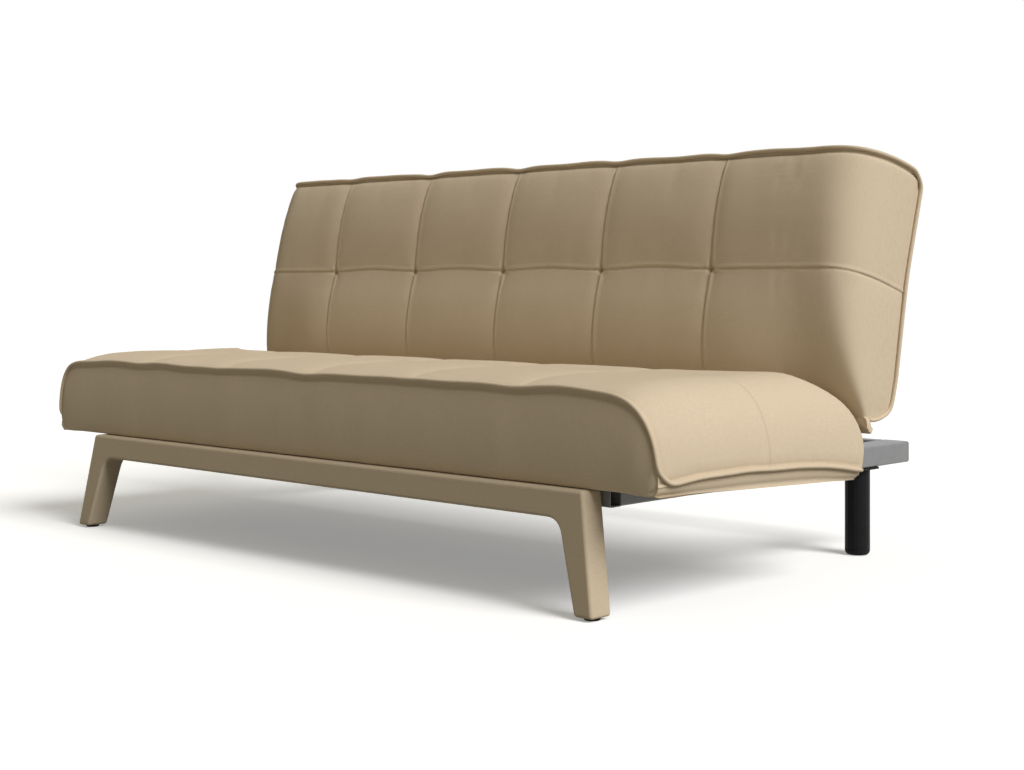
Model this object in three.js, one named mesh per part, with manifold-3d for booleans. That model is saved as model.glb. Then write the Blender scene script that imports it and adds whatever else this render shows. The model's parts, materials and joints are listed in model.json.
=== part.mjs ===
// Click clack sofa bed in the sofa position. Millimetres, +X along its length, +Z up, front towards -Y.
// The origin lies on the floor below the middle of the whole sofa.

import * as THREE from 'three';
import { mergeVertices } from 'three/addons/utils/BufferGeometryUtils.js';
import Module from 'manifold-3d';

const wasm = await Module();
wasm.setup();

// Fits between neighbours
const seatGap = 0.3;
const plateGap = 0.5;
const overrun = 2;

// Whole sofa, measured from the front face of the seat
const baseReach = 994;
const footReach = 33;

// The click clack pivot that both cushions turn about
const pivotBehindFront = 578;
const pivotHeight = 268;
const sofaLean = THREE.MathUtils.degToRad(16.25);

// Seat cushion, in its own frame: s forward from the pivot, d up from the pivot
const seatHalfWidth = 884;
const seatFace = 117;
const seatUnderside = -61;
const seatCrossSeam = 298;
const seatEdgeDrop = 11;
const seatTuckRise = 21;
const seatCreaseStart = -3;
const seatCreasePull = [0, 70];
const seatCreaseEnd = 200;

// Back cushion, in its own frame: s up the slope from the pivot, d forward from the pivot
const backEndInset = 4;
const backLength = 522;
const backFace = 124;
const backUnderside = -48;
const backCrossSeam = 284;
const backEdgeDrop = 5;
const backEndDroop = 8;
const backCreasePull = [66, 74];
const backCreaseEnd = 150;

// Cushion make-up, shared by seat and back
const endColumnWidth = 324;
const seamsPerSide = 2;
const seamHalfWidth = 14;
const seamDepth = 7;
const tuftDepth = 11;
const tuftReach = 34;
const columnPuff = 4;
const endRound = 112;
const endRoundHeight = 98;
const endTuck = 34;
const borderBulge = 7;
const lowerRound = 12;
const weltRadius = 5;
const weltProud = 3;
const crownReach = 75;
const tuckPowerShare = 1.6;
const creaseBlendShare = 2.5;
const creaseSteps = 5;
const endSteps = 4;

// Cavity for the frame inside each cushion
const endPadding = 92.5;
const cavityNear = 30;
const cavityWall = 28;
const cavityCeiling = -8;
const cavityClear = 1.9;

// Timber frames inside the cushions
const memberWidth = 38;
const memberThickness = 32;
const nearMemberStart = 100;
const endMemberStart = 34;
const memberEdgeRadius = 3;
const panelThickness = 1;

// Sinuous springs
const springWire = 4;
const springSides = 4;
const springBends = 9;
const springStepsPerBend = 3;
const springAmplitude = 27;
const springPitch = 330;

// Steel base
const railWidth = 60;
const railHeight = 42.5;
const crossRailWidth = 30;
const railWall = 2;
const railCorner = 4;
const railTop = 218.5;
const middleRailFromFront = 455;
const capThickness = 2;
const capPlug = 18;
const capBevel = 1.2;

// Front apron and legs, timber wrapped in fabric
const apronTop = 206.7;
const apronHeight = 48.7;
const apronProud = 14;
const legDepth = 50;
const legTopInset = 17;
const legFootSplay = 20;
const legFootWidth = 40;
const legTopWidth = 46;
const kneeReach = 24;
const kneeDrop = 34;
const legBevel = 3;
const glideHeight = 4.5;
const glideRadius = 14;
const glideInset = 20;
const legBoltRadius = 4;
const legBoltHeadRadius = 7.5;
const legBoltHeadHeight = 5;
const legBoltBite = 30;
const boltClear = 0.3;

// Rear legs
const rearLegFromFront = 843;
const rearLegRadius = 25;
const rearLegWall = 2.5;
const rearFootHeight = 12;
const rearFootRound = 9;
const rearFootPlug = 14;
const rearFootSteps = 3;
const mountPlateSize = 66;
const mountPlateThickness = 3.5;
const mountPlateCorner = 8;
const mountHoleInset = 8;
const mountHoleRadius = 2.6;

// Hinge plates: base bracket, back arm with sector, seat arm, from the rail outwards
const plateThickness = 4;
const eyeRadius = 16;
const pinRadius = 6;
const pinClear = 0.3;
const pinHeadRadius = 9.5;
const pinHeadHeight = 3.5;
const pocketRadius = 54;
const pocketMargin = 2;
const bracketHalfBase = 62;
const bracketDrop = 88;
const bracketNeck = 18;
const bracketShoulder = 52;
const armHeight = 30;
const armTop = -12;
const seatArmLength = 196;
const backArmLength = 232;
const armScrewRadius = 3;
const armScrewInset = 14;
const armScrewShare = 0.57;

// Ratchet sector and locking pawl
const sectorRadius = 34;
const sectorRelief = 27;
const notchDepth = 5;
const notchHalfAngle = THREE.MathUtils.degToRad(6);
const loungeRecline = THREE.MathUtils.degToRad(37);
const flatRecline = Math.PI / 2 - sofaLean;
const pawlTipAngle = THREE.MathUtils.degToRad(235);
const pawlTipClear = 0.6;
const sectorMargin = THREE.MathUtils.degToRad(12);
const pawlPinForward = 52;
const pawlPinBelow = 22;
const pawlLobe = 8.5;
const pawlNose = 8;
const pawlTail = 36;
const pawlTailHalf = 5;
const pawlPinRadius = 4;
const pawlPinHead = 7;
const pawlPinHeadHeight = 9.5;
const bracketLobe = 10;
const studRadius = 2.5;
const slotHalfLength = 7;
const slotHalfHeight = 3.4;

// Torsion spring that presses the pawl into its sector
const coilWire = 1.8;
const coilRadius = 8.6;
const coilPitch = 2.2;
const coilTurns = 3.25;
const coilStepsPerTurn = 12;
const coilSides = 6;
const coilLegReach = 18;
const coilFootDrop = 20;
const coilFootRun = 7.2;

// Fabric sleeve over the open angle at each end of the hinge
const sleeveRadius = 19;
const sleeveWall = 3;
const sleeveEntry = 6.5;
const sleeveLength = 64;
const sleeveClear = 1.5;
const sleeveEndClear = 4;

// Facets on turned and rounded pieces
const legFaces = 20;
const pinFaces = 16;
const boltFaces = 12;
const pocketSegments = 12;
const plateSegments = 8;
const tubeSegments = 2;

// Materials
const fabric = new THREE.MeshStandardMaterial({ color: 0xc4b391, roughness: 0.92, metalness: 0 });
const greySteel = new THREE.MeshStandardMaterial({ color: 0x86868a, roughness: 0.45, metalness: 0.7 });
const blackSteel = new THREE.MeshStandardMaterial({ color: 0x1d1d1f, roughness: 0.4, metalness: 0.5 });
const blackPlastic = new THREE.MeshStandardMaterial({ color: 0x18181a, roughness: 0.55, metalness: 0 });
const greyPlastic = new THREE.MeshStandardMaterial({ color: 0x7c7c80, roughness: 0.5, metalness: 0 });
const zincSteel = new THREE.MeshStandardMaterial({ color: 0xa9abb0, roughness: 0.35, metalness: 0.9 });
const timber = new THREE.MeshStandardMaterial({ color: 0xc9a878, roughness: 0.75, metalness: 0 });
const lining = new THREE.MeshStandardMaterial({ color: 0x2a2a2a, roughness: 0.95, metalness: 0 });

// Places worked out from the sizes above
const seatFrontY = (footReach - baseReach) / 2;
const pivotY = seatFrontY + pivotBehindFront;
const seatLength = pivotBehindFront;
const backHalfWidth = seatHalfWidth - backEndInset;
const backCreaseStart = sleeveRadius + seatGap;
const seamPitch = (seatHalfWidth - endColumnWidth) / seamsPerSide;
const panelTop = railTop + seatGap + panelThickness - pivotHeight;
const seatMemberLow = panelTop + seatGap;
const backMemberLow = backUnderside + panelThickness + seatGap;

// From the ends inwards: cavity, frame, seat arm, back arm, bracket, rail
const cavityHalfWidth = seatHalfWidth - endPadding;
const seatArmX = cavityHalfWidth - cavityClear - memberWidth - seatGap - plateThickness;
const backArmX = seatArmX - plateGap - plateThickness;
const bracketX = backArmX - plateGap - plateThickness;
const railOuterX = bracketX - seatGap;
const legTopOuterX = railOuterX - legTopInset;
const legFootOuterX = railOuterX + legFootSplay;
const sleeveStart = cavityHalfWidth + sleeveEntry;
const pocketStart = bracketX - pinHeadHeight - pocketMargin;
const notchStart = bracketX - pawlPinHeadHeight - pocketMargin;
const pocketEnd = seatArmX + plateThickness + plateGap + pinHeadHeight + pocketMargin;
const railBottom = railTop - railHeight;
const sideRailInnerX = railOuterX - railWidth;
const frontRailY = seatFrontY - apronProud + legDepth + seatGap;
const sideRailFrontY = frontRailY + crossRailWidth + seatGap;
const railRearY = seatFrontY + baseReach - capThickness;

// Geometry helpers

function toSolid(geometry) {
  const bare = geometry.index ? geometry.toNonIndexed() : geometry.clone();
  for (const name of Object.keys(bare.attributes)) {
    if (name !== 'position') {
      bare.deleteAttribute(name);
    }
  }
  const merged = mergeVertices(bare, 1e-4);
  return new wasm.Manifold(new wasm.Mesh({
    numProp: 3,
    vertProperties: new Float32Array(merged.attributes.position.array),
    triVerts: new Uint32Array(merged.index.array),
  }));
}

function toGeometry(solid) {
  const mesh = solid.getMesh();
  const geometry = new THREE.BufferGeometry();
  geometry.setAttribute('position', new THREE.BufferAttribute(new Float32Array(mesh.vertProperties), 3));
  geometry.setIndex(new THREE.BufferAttribute(new Uint32Array(mesh.triVerts), 1));
  geometry.computeVertexNormals();
  return geometry;
}

function cut(geometry, ...tools) {
  let solid = toSolid(geometry);
  for (const tool of tools) {
    solid = solid.subtract(toSolid(tool));
  }
  return toGeometry(solid);
}

function join(geometry, ...others) {
  let solid = toSolid(geometry);
  for (const other of others) {
    solid = solid.add(toSolid(other));
  }
  return toGeometry(solid);
}

function block(x0, x1, y0, y1, z0, z1) {
  const geometry = new THREE.BoxGeometry(x1 - x0, y1 - y0, z1 - z0);
  geometry.translate((x0 + x1) / 2, (y0 + y1) / 2, (z0 + z1) / 2);
  return geometry;
}

// Closed solid through rings with the same number of points, with a flat cap at each end
function loft(rings) {
  const count = rings[0].length;
  const positions = [];
  const indices = [];
  for (const ring of rings) {
    for (const point of ring) {
      positions.push(point.x, point.y, point.z);
    }
  }
  for (let i = 0; i < rings.length - 1; i += 1) {
    for (let j = 0; j < count; j += 1) {
      const a = i * count + j;
      const b = i * count + (j + 1) % count;
      indices.push(a, b, b + count, a, b + count, a + count);
    }
  }
  for (const [ring, flip] of [[0, true], [rings.length - 1, false]]) {
    const middle = positions.length / 3;
    const centre = new THREE.Vector3();
    rings[ring].forEach((point) => centre.addScaledVector(point, 1 / count));
    positions.push(centre.x, centre.y, centre.z);
    for (let j = 0; j < count; j += 1) {
      const a = ring * count + j;
      const b = ring * count + (j + 1) % count;
      indices.push(middle, flip ? b : a, flip ? a : b);
    }
  }
  const geometry = new THREE.BufferGeometry();
  geometry.setAttribute('position', new THREE.Float32BufferAttribute(positions, 3));
  geometry.setIndex(indices);
  geometry.computeVertexNormals();
  return geometry;
}

function roundedRect(width, height, radius) {
  const shape = new THREE.Shape();
  const x = width / 2;
  const y = height / 2;
  shape.moveTo(-x + radius, -y);
  shape.lineTo(x - radius, -y);
  shape.absarc(x - radius, -y + radius, radius, -Math.PI / 2, 0);
  shape.lineTo(x, y - radius);
  shape.absarc(x - radius, y - radius, radius, 0, Math.PI / 2);
  shape.lineTo(-x + radius, y);
  shape.absarc(-x + radius, y - radius, radius, Math.PI / 2, Math.PI);
  shape.lineTo(-x, -y + radius);
  shape.absarc(-x + radius, -y + radius, radius, Math.PI, Math.PI * 3 / 2);
  return shape;
}

function circleHole(x, y, radius) {
  const hole = new THREE.Path();
  hole.absarc(x, y, radius, 0, Math.PI * 2, true);
  return hole;
}

// A profile drawn in the side view (y, z), drawn out along x from start
function alongX(shape, start, length, curveSegments = 4) {
  const geometry = new THREE.ExtrudeGeometry(shape, { depth: length, bevelEnabled: false, curveSegments });
  geometry.applyMatrix4(new THREE.Matrix4().makeBasis(
    new THREE.Vector3(0, 1, 0),
    new THREE.Vector3(0, 0, 1),
    new THREE.Vector3(1, 0, 0),
  ));
  geometry.translate(start, 0, 0);
  return geometry;
}

// A profile drawn in the front view (x, z), drawn out along y from start
function alongY(shape, start, length, curveSegments = 4) {
  const geometry = new THREE.ExtrudeGeometry(shape, { depth: length, bevelEnabled: false, curveSegments });
  geometry.rotateX(Math.PI / 2);
  geometry.translate(0, start + length, 0);
  return geometry;
}

// A turned piece whose axis lies along x
function turnedAlongX(profile, segments) {
  const geometry = new THREE.LatheGeometry(profile, segments);
  geometry.rotateZ(-Math.PI / 2);
  return geometry;
}

// A round wire along a path, whose section is carried on from ring to ring without twisting
function wire(path, radius, sides) {
  const last = path.length - 1;
  const rings = [];
  let across = null;
  path.forEach((point, index) => {
    const ahead = path[Math.min(last, index + 1)].clone().sub(path[Math.max(0, index - 1)]).normalize();
    if (!across) {
      across = new THREE.Vector3().crossVectors(ahead, new THREE.Vector3(ahead.z, ahead.x, ahead.y));
    }
    across.addScaledVector(ahead, -across.dot(ahead)).normalize();
    const other = new THREE.Vector3().crossVectors(ahead, across);
    const ring = [];
    for (let k = 0; k < sides; k += 1) {
      const angle = k * 2 * Math.PI / sides;
      const rim = point.clone().addScaledVector(across, radius * Math.cos(angle));
      ring.push(rim.addScaledVector(other, radius * Math.sin(angle)));
    }
    rings.push(ring);
  });
  return loft(rings);
}

function place(parent, name, geometry, material, mirrored = false) {
  const mesh = new THREE.Mesh(geometry, material);
  mesh.name = name;
  if (mirrored) {
    mesh.scale.x = -1;
  }
  parent.add(mesh);
  return mesh;
}

const group = new THREE.Group();
const base = new THREE.Group();
const seat = new THREE.Group();
const back = new THREE.Group();
const hinge = new THREE.Group();
seat.position.set(0, pivotY, pivotHeight);
seat.rotation.z = Math.PI;
back.position.set(0, pivotY, pivotHeight);
back.rotation.x = Math.PI / 2 - sofaLean;
hinge.position.set(0, pivotY, pivotHeight);
group.add(base, seat, back, hinge);

// Right is +X. The seat's own frame is turned half round, so its sides swap.
const sides = [['right', false], ['left', true]];

// Cushions

function columnTop(form, x) {
  const across = Math.abs(x);
  const outer = form.halfWidth - endRound;
  if (across > outer) {
    const share = Math.min(1, (across - outer) / endRound);
    return form.face - endRoundHeight * (1 - Math.sqrt(1 - share * share));
  }
  const last = seamsPerSide * seamPitch;
  const column = across > last ? (across - last) / (outer - last) : (across % seamPitch) / seamPitch;
  return form.face + columnPuff * Math.sin(Math.PI * column);
}

function columnBottom(form, x) {
  const tuckStart = form.halfWidth - endTuck;
  const share = Math.max(0, Math.abs(x) - tuckStart) / endTuck;
  return form.underside + form.tuckRise * share ** tuckPowerShare;
}

function seamSink(form, x, s) {
  const nearestSeam = Math.min(seamsPerSide, Math.round(Math.abs(x) / seamPitch)) * seamPitch;
  const offSeam = Math.abs(Math.abs(x) - nearestSeam);
  const offCross = Math.abs(s - form.crossSeam);
  const along = Math.max(0, 1 - offSeam / seamHalfWidth);
  const cross = Math.max(0, 1 - offCross / seamHalfWidth);
  const tuft = Math.max(0, 1 - Math.hypot(offSeam, offCross) / tuftReach);
  return seamDepth * Math.max(along, cross) + form.tuft * tuft;
}

// Height of the rounded crease side at a share of its way from the pivot to the face. Towards the
// ends, where the column is lower, it rounds over into the end of the cushion.
function creasePoint(form, top, way) {
  const stay = (1 - way) ** 2;
  const mid = 2 * way * (1 - way);
  const last = way ** 2;
  const s = stay * form.creaseStart + mid * form.creasePull[0] + last * form.creaseEnd;
  const d = mid * form.creasePull[1] + last * form.face;
  const power = creaseBlendShare;
  const reached = (top / form.face) ** -power + (d / form.face) ** -power - 1;
  return [s, form.face * reached ** (-1 / power)];
}

// One upright slice of a cushion, from its lower hinge edge round the border and over the face
function cushionSlice(form, x) {
  const top = columnTop(form, x);
  const bottom = columnBottom(form, x);
  const height = top - bottom;
  const share = height / (form.face - form.underside);
  const length = form.length;
  const edge = top - form.edgeDrop * share;
  const facePoint = (s) => {
    const rim = Math.max(0, 1 - (length - s) / crownReach);
    return [s, top - form.edgeDrop * share * rim * rim - seamSink(form, x, s) * share];
  };
  const crease = [];
  for (let step = creaseSteps; step > 0; step -= 1) {
    crease.push(creasePoint(form, top, step / creaseSteps));
  }
  const near = form.creaseStart;
  const outline = [
    [near, bottom + lowerRound / 2],
    [near + lowerRound / 2, bottom],
    [length - lowerRound, bottom],
    [length, bottom + lowerRound * share],
    [length + borderBulge * share, bottom + height / 2],
    [length, edge - 2 * weltRadius * share],
    [length + weltProud * share, edge - weltRadius * share],
    [length - weltProud, edge + weltProud * share],
    [length - 2 * weltRadius, edge - weltProud * share],
    facePoint(length - crownReach / 2),
    facePoint((form.crossSeam + length) / 2),
    facePoint(form.crossSeam + tuftReach),
    facePoint(form.crossSeam + seamHalfWidth),
    facePoint(form.crossSeam),
    facePoint(form.crossSeam - seamHalfWidth),
    facePoint(form.crossSeam - tuftReach),
    ...crease,
    [near, 0],
  ];
  return outline.map(([s, d]) => new THREE.Vector3(x, s, d));
}

function cushionStations(form) {
  const stations = [0];
  for (let seam = 0; seam <= seamsPerSide; seam += 1) {
    const at = seam * seamPitch;
    if (seam > 0) {
      stations.push(at - tuftReach, at - seamHalfWidth, at);
    }
    stations.push(at + seamHalfWidth, at + tuftReach);
    const next = seam < seamsPerSide ? at + seamPitch : form.halfWidth - endRound;
    stations.push((at + next) / 2);
  }
  for (let step = 0; step <= endSteps; step += 1) {
    stations.push(form.halfWidth - endRound + endRound * Math.sin(step / endSteps * Math.PI / 2));
  }
  stations.sort((a, b) => a - b);
  const mirrored = stations.slice(1).map((x) => -x).reverse();
  return [...mirrored, ...stations];
}

function hingePocket() {
  const round = new THREE.Shape();
  round.absarc(0, 0, pocketRadius, 0, Math.PI * 2);
  return alongX(round, pocketStart, pocketEnd - pocketStart, pocketSegments);
}

// Blind pocket for the sleeve, closed by the cushion's end
function sleevePocket() {
  const round = new THREE.Shape();
  round.absarc(0, 0, sleeveRadius + sleeveClear, 0, Math.PI * 2);
  return alongX(round, sleeveStart - sleeveClear, sleeveLength + sleeveClear + sleeveEndClear, plateSegments);
}

function mirrorX(geometry) {
  const flipped = geometry.clone();
  flipped.scale(-1, 1, 1);
  const order = flipped.index ? flipped : mergeVertices(flipped);
  const index = order.index.array;
  for (let i = 0; i < index.length; i += 3) {
    [index[i + 1], index[i + 2]] = [index[i + 2], index[i + 1]];
  }
  return order;
}

function cushion(form) {
  const body = loft(cushionStations(form).map((x) => cushionSlice(form, x)));
  const far = form.length - cavityWall;
  const low = form.underside - overrun;
  const tools = [
    block(-cavityHalfWidth, cavityHalfWidth, cavityNear, far, low, cavityCeiling),
    hingePocket(),
    mirrorX(hingePocket()),
  ];
  if (form.standsOnRails) {
    const start = form.creaseStart - overrun;
    tools.push(block(-cavityHalfWidth, cavityHalfWidth, start, far, low, panelTop));
    tools.push(sleevePocket(), mirrorX(sleevePocket()));
  }
  return cut(body, ...tools);
}

const seatForm = {
  halfWidth: seatHalfWidth,
  length: seatLength,
  face: seatFace,
  underside: seatUnderside,
  tuckRise: seatTuckRise,
  creaseStart: seatCreaseStart,
  creasePull: seatCreasePull,
  creaseEnd: seatCreaseEnd,
  crossSeam: seatCrossSeam,
  edgeDrop: seatEdgeDrop,
  tuft: 0,
  standsOnRails: true,
};
const backForm = {
  halfWidth: backHalfWidth,
  length: backLength,
  face: backFace,
  underside: backUnderside,
  tuckRise: -backEndDroop,
  creaseStart: backCreaseStart,
  creasePull: backCreasePull,
  creaseEnd: backCreaseEnd,
  crossSeam: backCrossSeam,
  edgeDrop: backEdgeDrop,
  tuft: tuftDepth,
  standsOnRails: false,
};
place(seat, 'seat_cushion', cushion(seatForm), fabric);
place(back, 'back_cushion', cushion(backForm), fabric);

// Timber frames with springs and a closing panel

function bar(x0, x1, s0, s1, low) {
  const alongWidth = x1 - x0 > s1 - s0;
  const section = roundedRect(memberWidth, memberThickness, memberEdgeRadius);
  const middle = low + memberThickness / 2;
  if (alongWidth) {
    const geometry = alongX(section, x0, x1 - x0, 1);
    geometry.translate(0, (s0 + s1) / 2, middle);
    return geometry;
  }
  const geometry = alongY(section, s0, s1 - s0, 1);
  geometry.translate((x0 + x1) / 2, 0, middle);
  return geometry;
}

function sinuousSpring(x, start, end, level) {
  const steps = springBends * springStepsPerBend;
  const path = [];
  for (let step = 0; step <= steps; step += 1) {
    const share = step / steps;
    const swing = springAmplitude * Math.sin(Math.PI * springBends * share);
    path.push(new THREE.Vector3(x + swing, start + (end - start) * share, level));
  }
  return wire(path, springWire / 2, springSides);
}

function innerFrame(parent, name, length, low, armX, swapped) {
  const endX = armX + plateThickness + seatGap;
  const far = length - cavityWall - panelThickness;
  const nearEnd = armX - seatGap;
  const farEnd = endX - seatGap;
  const nearStop = nearMemberStart + memberWidth;
  const farStart = far - memberWidth;
  const nearName = parent === seat ? 'rear' : 'lower';
  const farName = parent === seat ? 'front' : 'top';
  const near = bar(-nearEnd, nearEnd, nearMemberStart, nearStop, low);
  const opposite = bar(-farEnd, farEnd, farStart, far, low);
  const middle = bar(-memberWidth / 2, memberWidth / 2, nearStop + seatGap, farStart - seatGap, low);
  place(parent, `${name}_frame_${nearName}_member`, near, timber);
  place(parent, `${name}_frame_${farName}_member`, opposite, timber);
  place(parent, `${name}_frame_centre_member`, middle, timber);
  for (const [side, mirrored] of sides) {
    const end = bar(endX, endX + memberWidth, endMemberStart, far, low);
    place(parent, `${name}_frame_end_member_${side}`, end, timber, mirrored !== swapped);
  }
  const level = low + memberThickness + seatGap + springWire / 2;
  [-3, -1, 1, 3].forEach((halves, index) => {
    const x = halves * springPitch / 2;
    const spring = sinuousSpring(x, nearStop - memberWidth / 2, farStart + memberWidth / 2, level);
    place(parent, `${name}_spring_${index + 1}`, spring, zincSteel);
  });
}

// Thin sheet that closes a cushion's underside or rear
function closingPanel(length, low) {
  const half = cavityHalfWidth - panelThickness;
  const near = cavityNear + panelThickness;
  return block(-half, half, near, length - cavityWall - panelThickness, low, low + panelThickness);
}

// The seat's dust cover is notched round the brackets that stand up from the base
function dustCover() {
  const sheet = closingPanel(seatLength, panelTop - panelThickness);
  const deep = bracketHalfBase + bracketLobe;
  const low = panelTop - panelThickness - overrun;
  const notch = block(notchStart, pocketEnd, 0, deep, low, panelTop + overrun);
  return cut(sheet, notch, mirrorX(notch));
}

innerFrame(seat, 'seat', seatLength, seatMemberLow, seatArmX, true);
innerFrame(back, 'back', backLength, backMemberLow, backArmX, false);
place(seat, 'seat_dust_cover', dustCover(), lining);
place(back, 'back_rear_cover', closingPanel(backLength, backUnderside), lining);

// Steel base

function boxTube(width, height) {
  const shape = roundedRect(width, height, railCorner);
  const inner = roundedRect(width - 2 * railWall, height - 2 * railWall, railCorner - railWall);
  shape.holes.push(new THREE.Path(inner.getPoints(tubeSegments).reverse()));
  return shape;
}

function railAlongX(x0, x1, y0, width) {
  const geometry = alongX(boxTube(width, railHeight), x0, x1 - x0, tubeSegments);
  geometry.translate(0, y0 + width / 2, railBottom + railHeight / 2);
  return geometry;
}

function legBoltHole(x) {
  const radius = legBoltRadius + boltClear;
  const length = legBoltBite + crossRailWidth + overrun;
  const hole = new THREE.CylinderGeometry(radius, radius, length, boltFaces);
  hole.translate(x, frontRailY - legBoltBite - boltClear + length / 2, railBottom + railHeight / 2);
  return hole;
}

const legBoltX = legTopOuterX - legTopWidth / 2;
const frontRail = railAlongX(-railOuterX, railOuterX, frontRailY, crossRailWidth);
place(base, 'base_front_rail', cut(frontRail, legBoltHole(legBoltX), legBoltHole(-legBoltX)), greySteel);
const betweenRails = sideRailInnerX - seatGap;
const middleRailY = seatFrontY + middleRailFromFront;
const middleRail = railAlongX(-betweenRails, betweenRails, middleRailY, crossRailWidth);
place(base, 'base_middle_rail', middleRail, greySteel);
const rearRail = railAlongX(-betweenRails, betweenRails, railRearY - crossRailWidth, crossRailWidth);
place(base, 'base_rear_rail', rearRail, greySteel);

function railEndCap() {
  const outline = roundedRect(railWidth - 2 * capBevel, railHeight - 2 * capBevel, railCorner);
  const face = new THREE.ExtrudeGeometry(outline, {
    depth: capThickness - seatGap - capBevel,
    bevelEnabled: true,
    bevelThickness: capBevel,
    bevelSize: capBevel,
    bevelSegments: 1,
    curveSegments: tubeSegments,
  });
  face.rotateX(Math.PI / 2);
  face.translate(0, capThickness - capBevel, 0);
  const plugWidth = railWidth - 2 * railWall - 2 * seatGap;
  const plugHeight = railHeight - 2 * railWall - 2 * seatGap;
  const plugOutline = roundedRect(plugWidth, plugHeight, railCorner - railWall);
  const plug = alongY(plugOutline, -capPlug, capPlug + capThickness / 2, tubeSegments);
  const trim = block(-railWidth, railWidth, -2 * capBevel, seatGap, -railHeight, railHeight);
  const trimmed = toSolid(face).subtract(toSolid(trim));
  const whole = toGeometry(trimmed.add(toSolid(plug)));
  whole.translate(railOuterX - railWidth / 2, railRearY, railBottom + railHeight / 2);
  return whole;
}

for (const [side, mirrored] of sides) {
  const length = railRearY - sideRailFrontY;
  const rail = alongY(boxTube(railWidth, railHeight), sideRailFrontY, length, tubeSegments);
  rail.translate(railOuterX - railWidth / 2, 0, railBottom + railHeight / 2);
  place(base, `base_side_rail_${side}`, rail, greySteel, mirrored);
  place(base, `base_rail_cap_${side}`, railEndCap(), greyPlastic, mirrored);
}

// Front apron and legs

const kneeInnerX = legTopOuterX - legTopWidth - kneeReach;
const apronSection = roundedRect(legDepth, apronHeight, legBevel);
const apron = alongX(apronSection, -kneeInnerX + seatGap, 2 * (kneeInnerX - seatGap), tubeSegments);
apron.translate(0, seatFrontY - apronProud + legDepth / 2, apronTop - apronHeight / 2);
place(base, 'front_apron_rail', apron, fabric);

function frontLeg() {
  const outline = new THREE.Shape();
  const foot = glideHeight + seatGap;
  const under = apronTop - apronHeight;
  const innerFoot = legFootOuterX - legFootWidth;
  const slope = (legFootOuterX - legTopOuterX) / (apronTop - foot);
  const innerKnee = legTopOuterX - legTopWidth + slope * (apronTop - under + kneeDrop);
  outline.moveTo(kneeInnerX + legBevel, apronTop - legBevel);
  outline.lineTo(kneeInnerX + legBevel, under + legBevel);
  outline.quadraticCurveTo(innerKnee - legBevel, under + legBevel, innerKnee + legBevel, under - kneeDrop);
  outline.lineTo(innerFoot + legBevel, foot + legBevel);
  outline.lineTo(legFootOuterX - legBevel, foot + legBevel);
  outline.lineTo(legTopOuterX - legBevel, apronTop - legBevel);
  const leg = new THREE.ExtrudeGeometry(outline, {
    depth: legDepth - 2 * legBevel,
    bevelEnabled: true,
    bevelThickness: legBevel,
    bevelSize: legBevel,
    bevelSegments: 2,
    curveSegments: 5,
  });
  leg.rotateX(Math.PI / 2);
  leg.translate(0, seatFrontY - apronProud + legDepth - legBevel, 0);
  const lean = (footReach - apronProud) / (apronTop - foot);
  const shear = new THREE.Matrix4().set(1, 0, 0, 0, 0, 1, lean, -lean * apronTop, 0, 0, 1, 0, 0, 0, 0, 1);
  const splayed = toGeometry(toSolid(leg));
  splayed.applyMatrix4(shear);
  const squareStart = frontRailY - seatGap;
  const square = block(0, legFootOuterX * 2, squareStart, squareStart + legDepth, under, apronTop + overrun);
  return cut(splayed, legBoltHole(legBoltX), square);
}

function frontGlide() {
  const rim = glideHeight / 3;
  const profile = [
    new THREE.Vector2(0, 0),
    new THREE.Vector2(glideRadius - rim, 0),
    new THREE.Vector2(glideRadius, rim),
    new THREE.Vector2(glideRadius, glideHeight),
    new THREE.Vector2(0, glideHeight),
  ];
  const glide = new THREE.LatheGeometry(profile, pinFaces);
  glide.rotateX(Math.PI / 2);
  glide.translate(legFootOuterX - glideInset, seatFrontY - footReach + legDepth / 2, 0);
  return glide;
}

function legBolt() {
  const headStart = frontRailY + crossRailWidth + seatGap;
  const tip = frontRailY - legBoltBite;
  const profile = [
    new THREE.Vector2(0, tip),
    new THREE.Vector2(legBoltRadius, tip),
    new THREE.Vector2(legBoltRadius, headStart),
    new THREE.Vector2(legBoltHeadRadius, headStart),
    new THREE.Vector2(legBoltHeadRadius, headStart + legBoltHeadHeight),
    new THREE.Vector2(0, headStart + legBoltHeadHeight),
  ];
  const bolt = new THREE.LatheGeometry(profile, boltFaces);
  bolt.translate(legBoltX, 0, railBottom + railHeight / 2);
  return bolt;
}

for (const [side, mirrored] of sides) {
  place(base, `front_leg_${side}`, frontLeg(), fabric, mirrored);
  place(base, `front_leg_glide_${side}`, frontGlide(), blackPlastic, mirrored);
  place(base, `front_leg_bolt_${side}`, legBolt(), zincSteel, mirrored);
}

// Rear legs

const rearLegX = railOuterX - railWidth / 2;
const rearLegY = seatFrontY + rearLegFromFront;
const plateLow = railBottom - seatGap - mountPlateThickness;

function rearLeg() {
  const top = plateLow - seatGap;
  const profile = [
    new THREE.Vector2(rearLegRadius - rearLegWall, rearFootHeight),
    new THREE.Vector2(rearLegRadius, rearFootHeight),
    new THREE.Vector2(rearLegRadius, top),
    new THREE.Vector2(rearLegRadius - rearLegWall, top),
    new THREE.Vector2(rearLegRadius - rearLegWall, rearFootHeight),
  ];
  const leg = new THREE.LatheGeometry(profile, legFaces);
  leg.rotateX(Math.PI / 2);
  leg.translate(rearLegX, rearLegY, 0);
  return leg;
}

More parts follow.
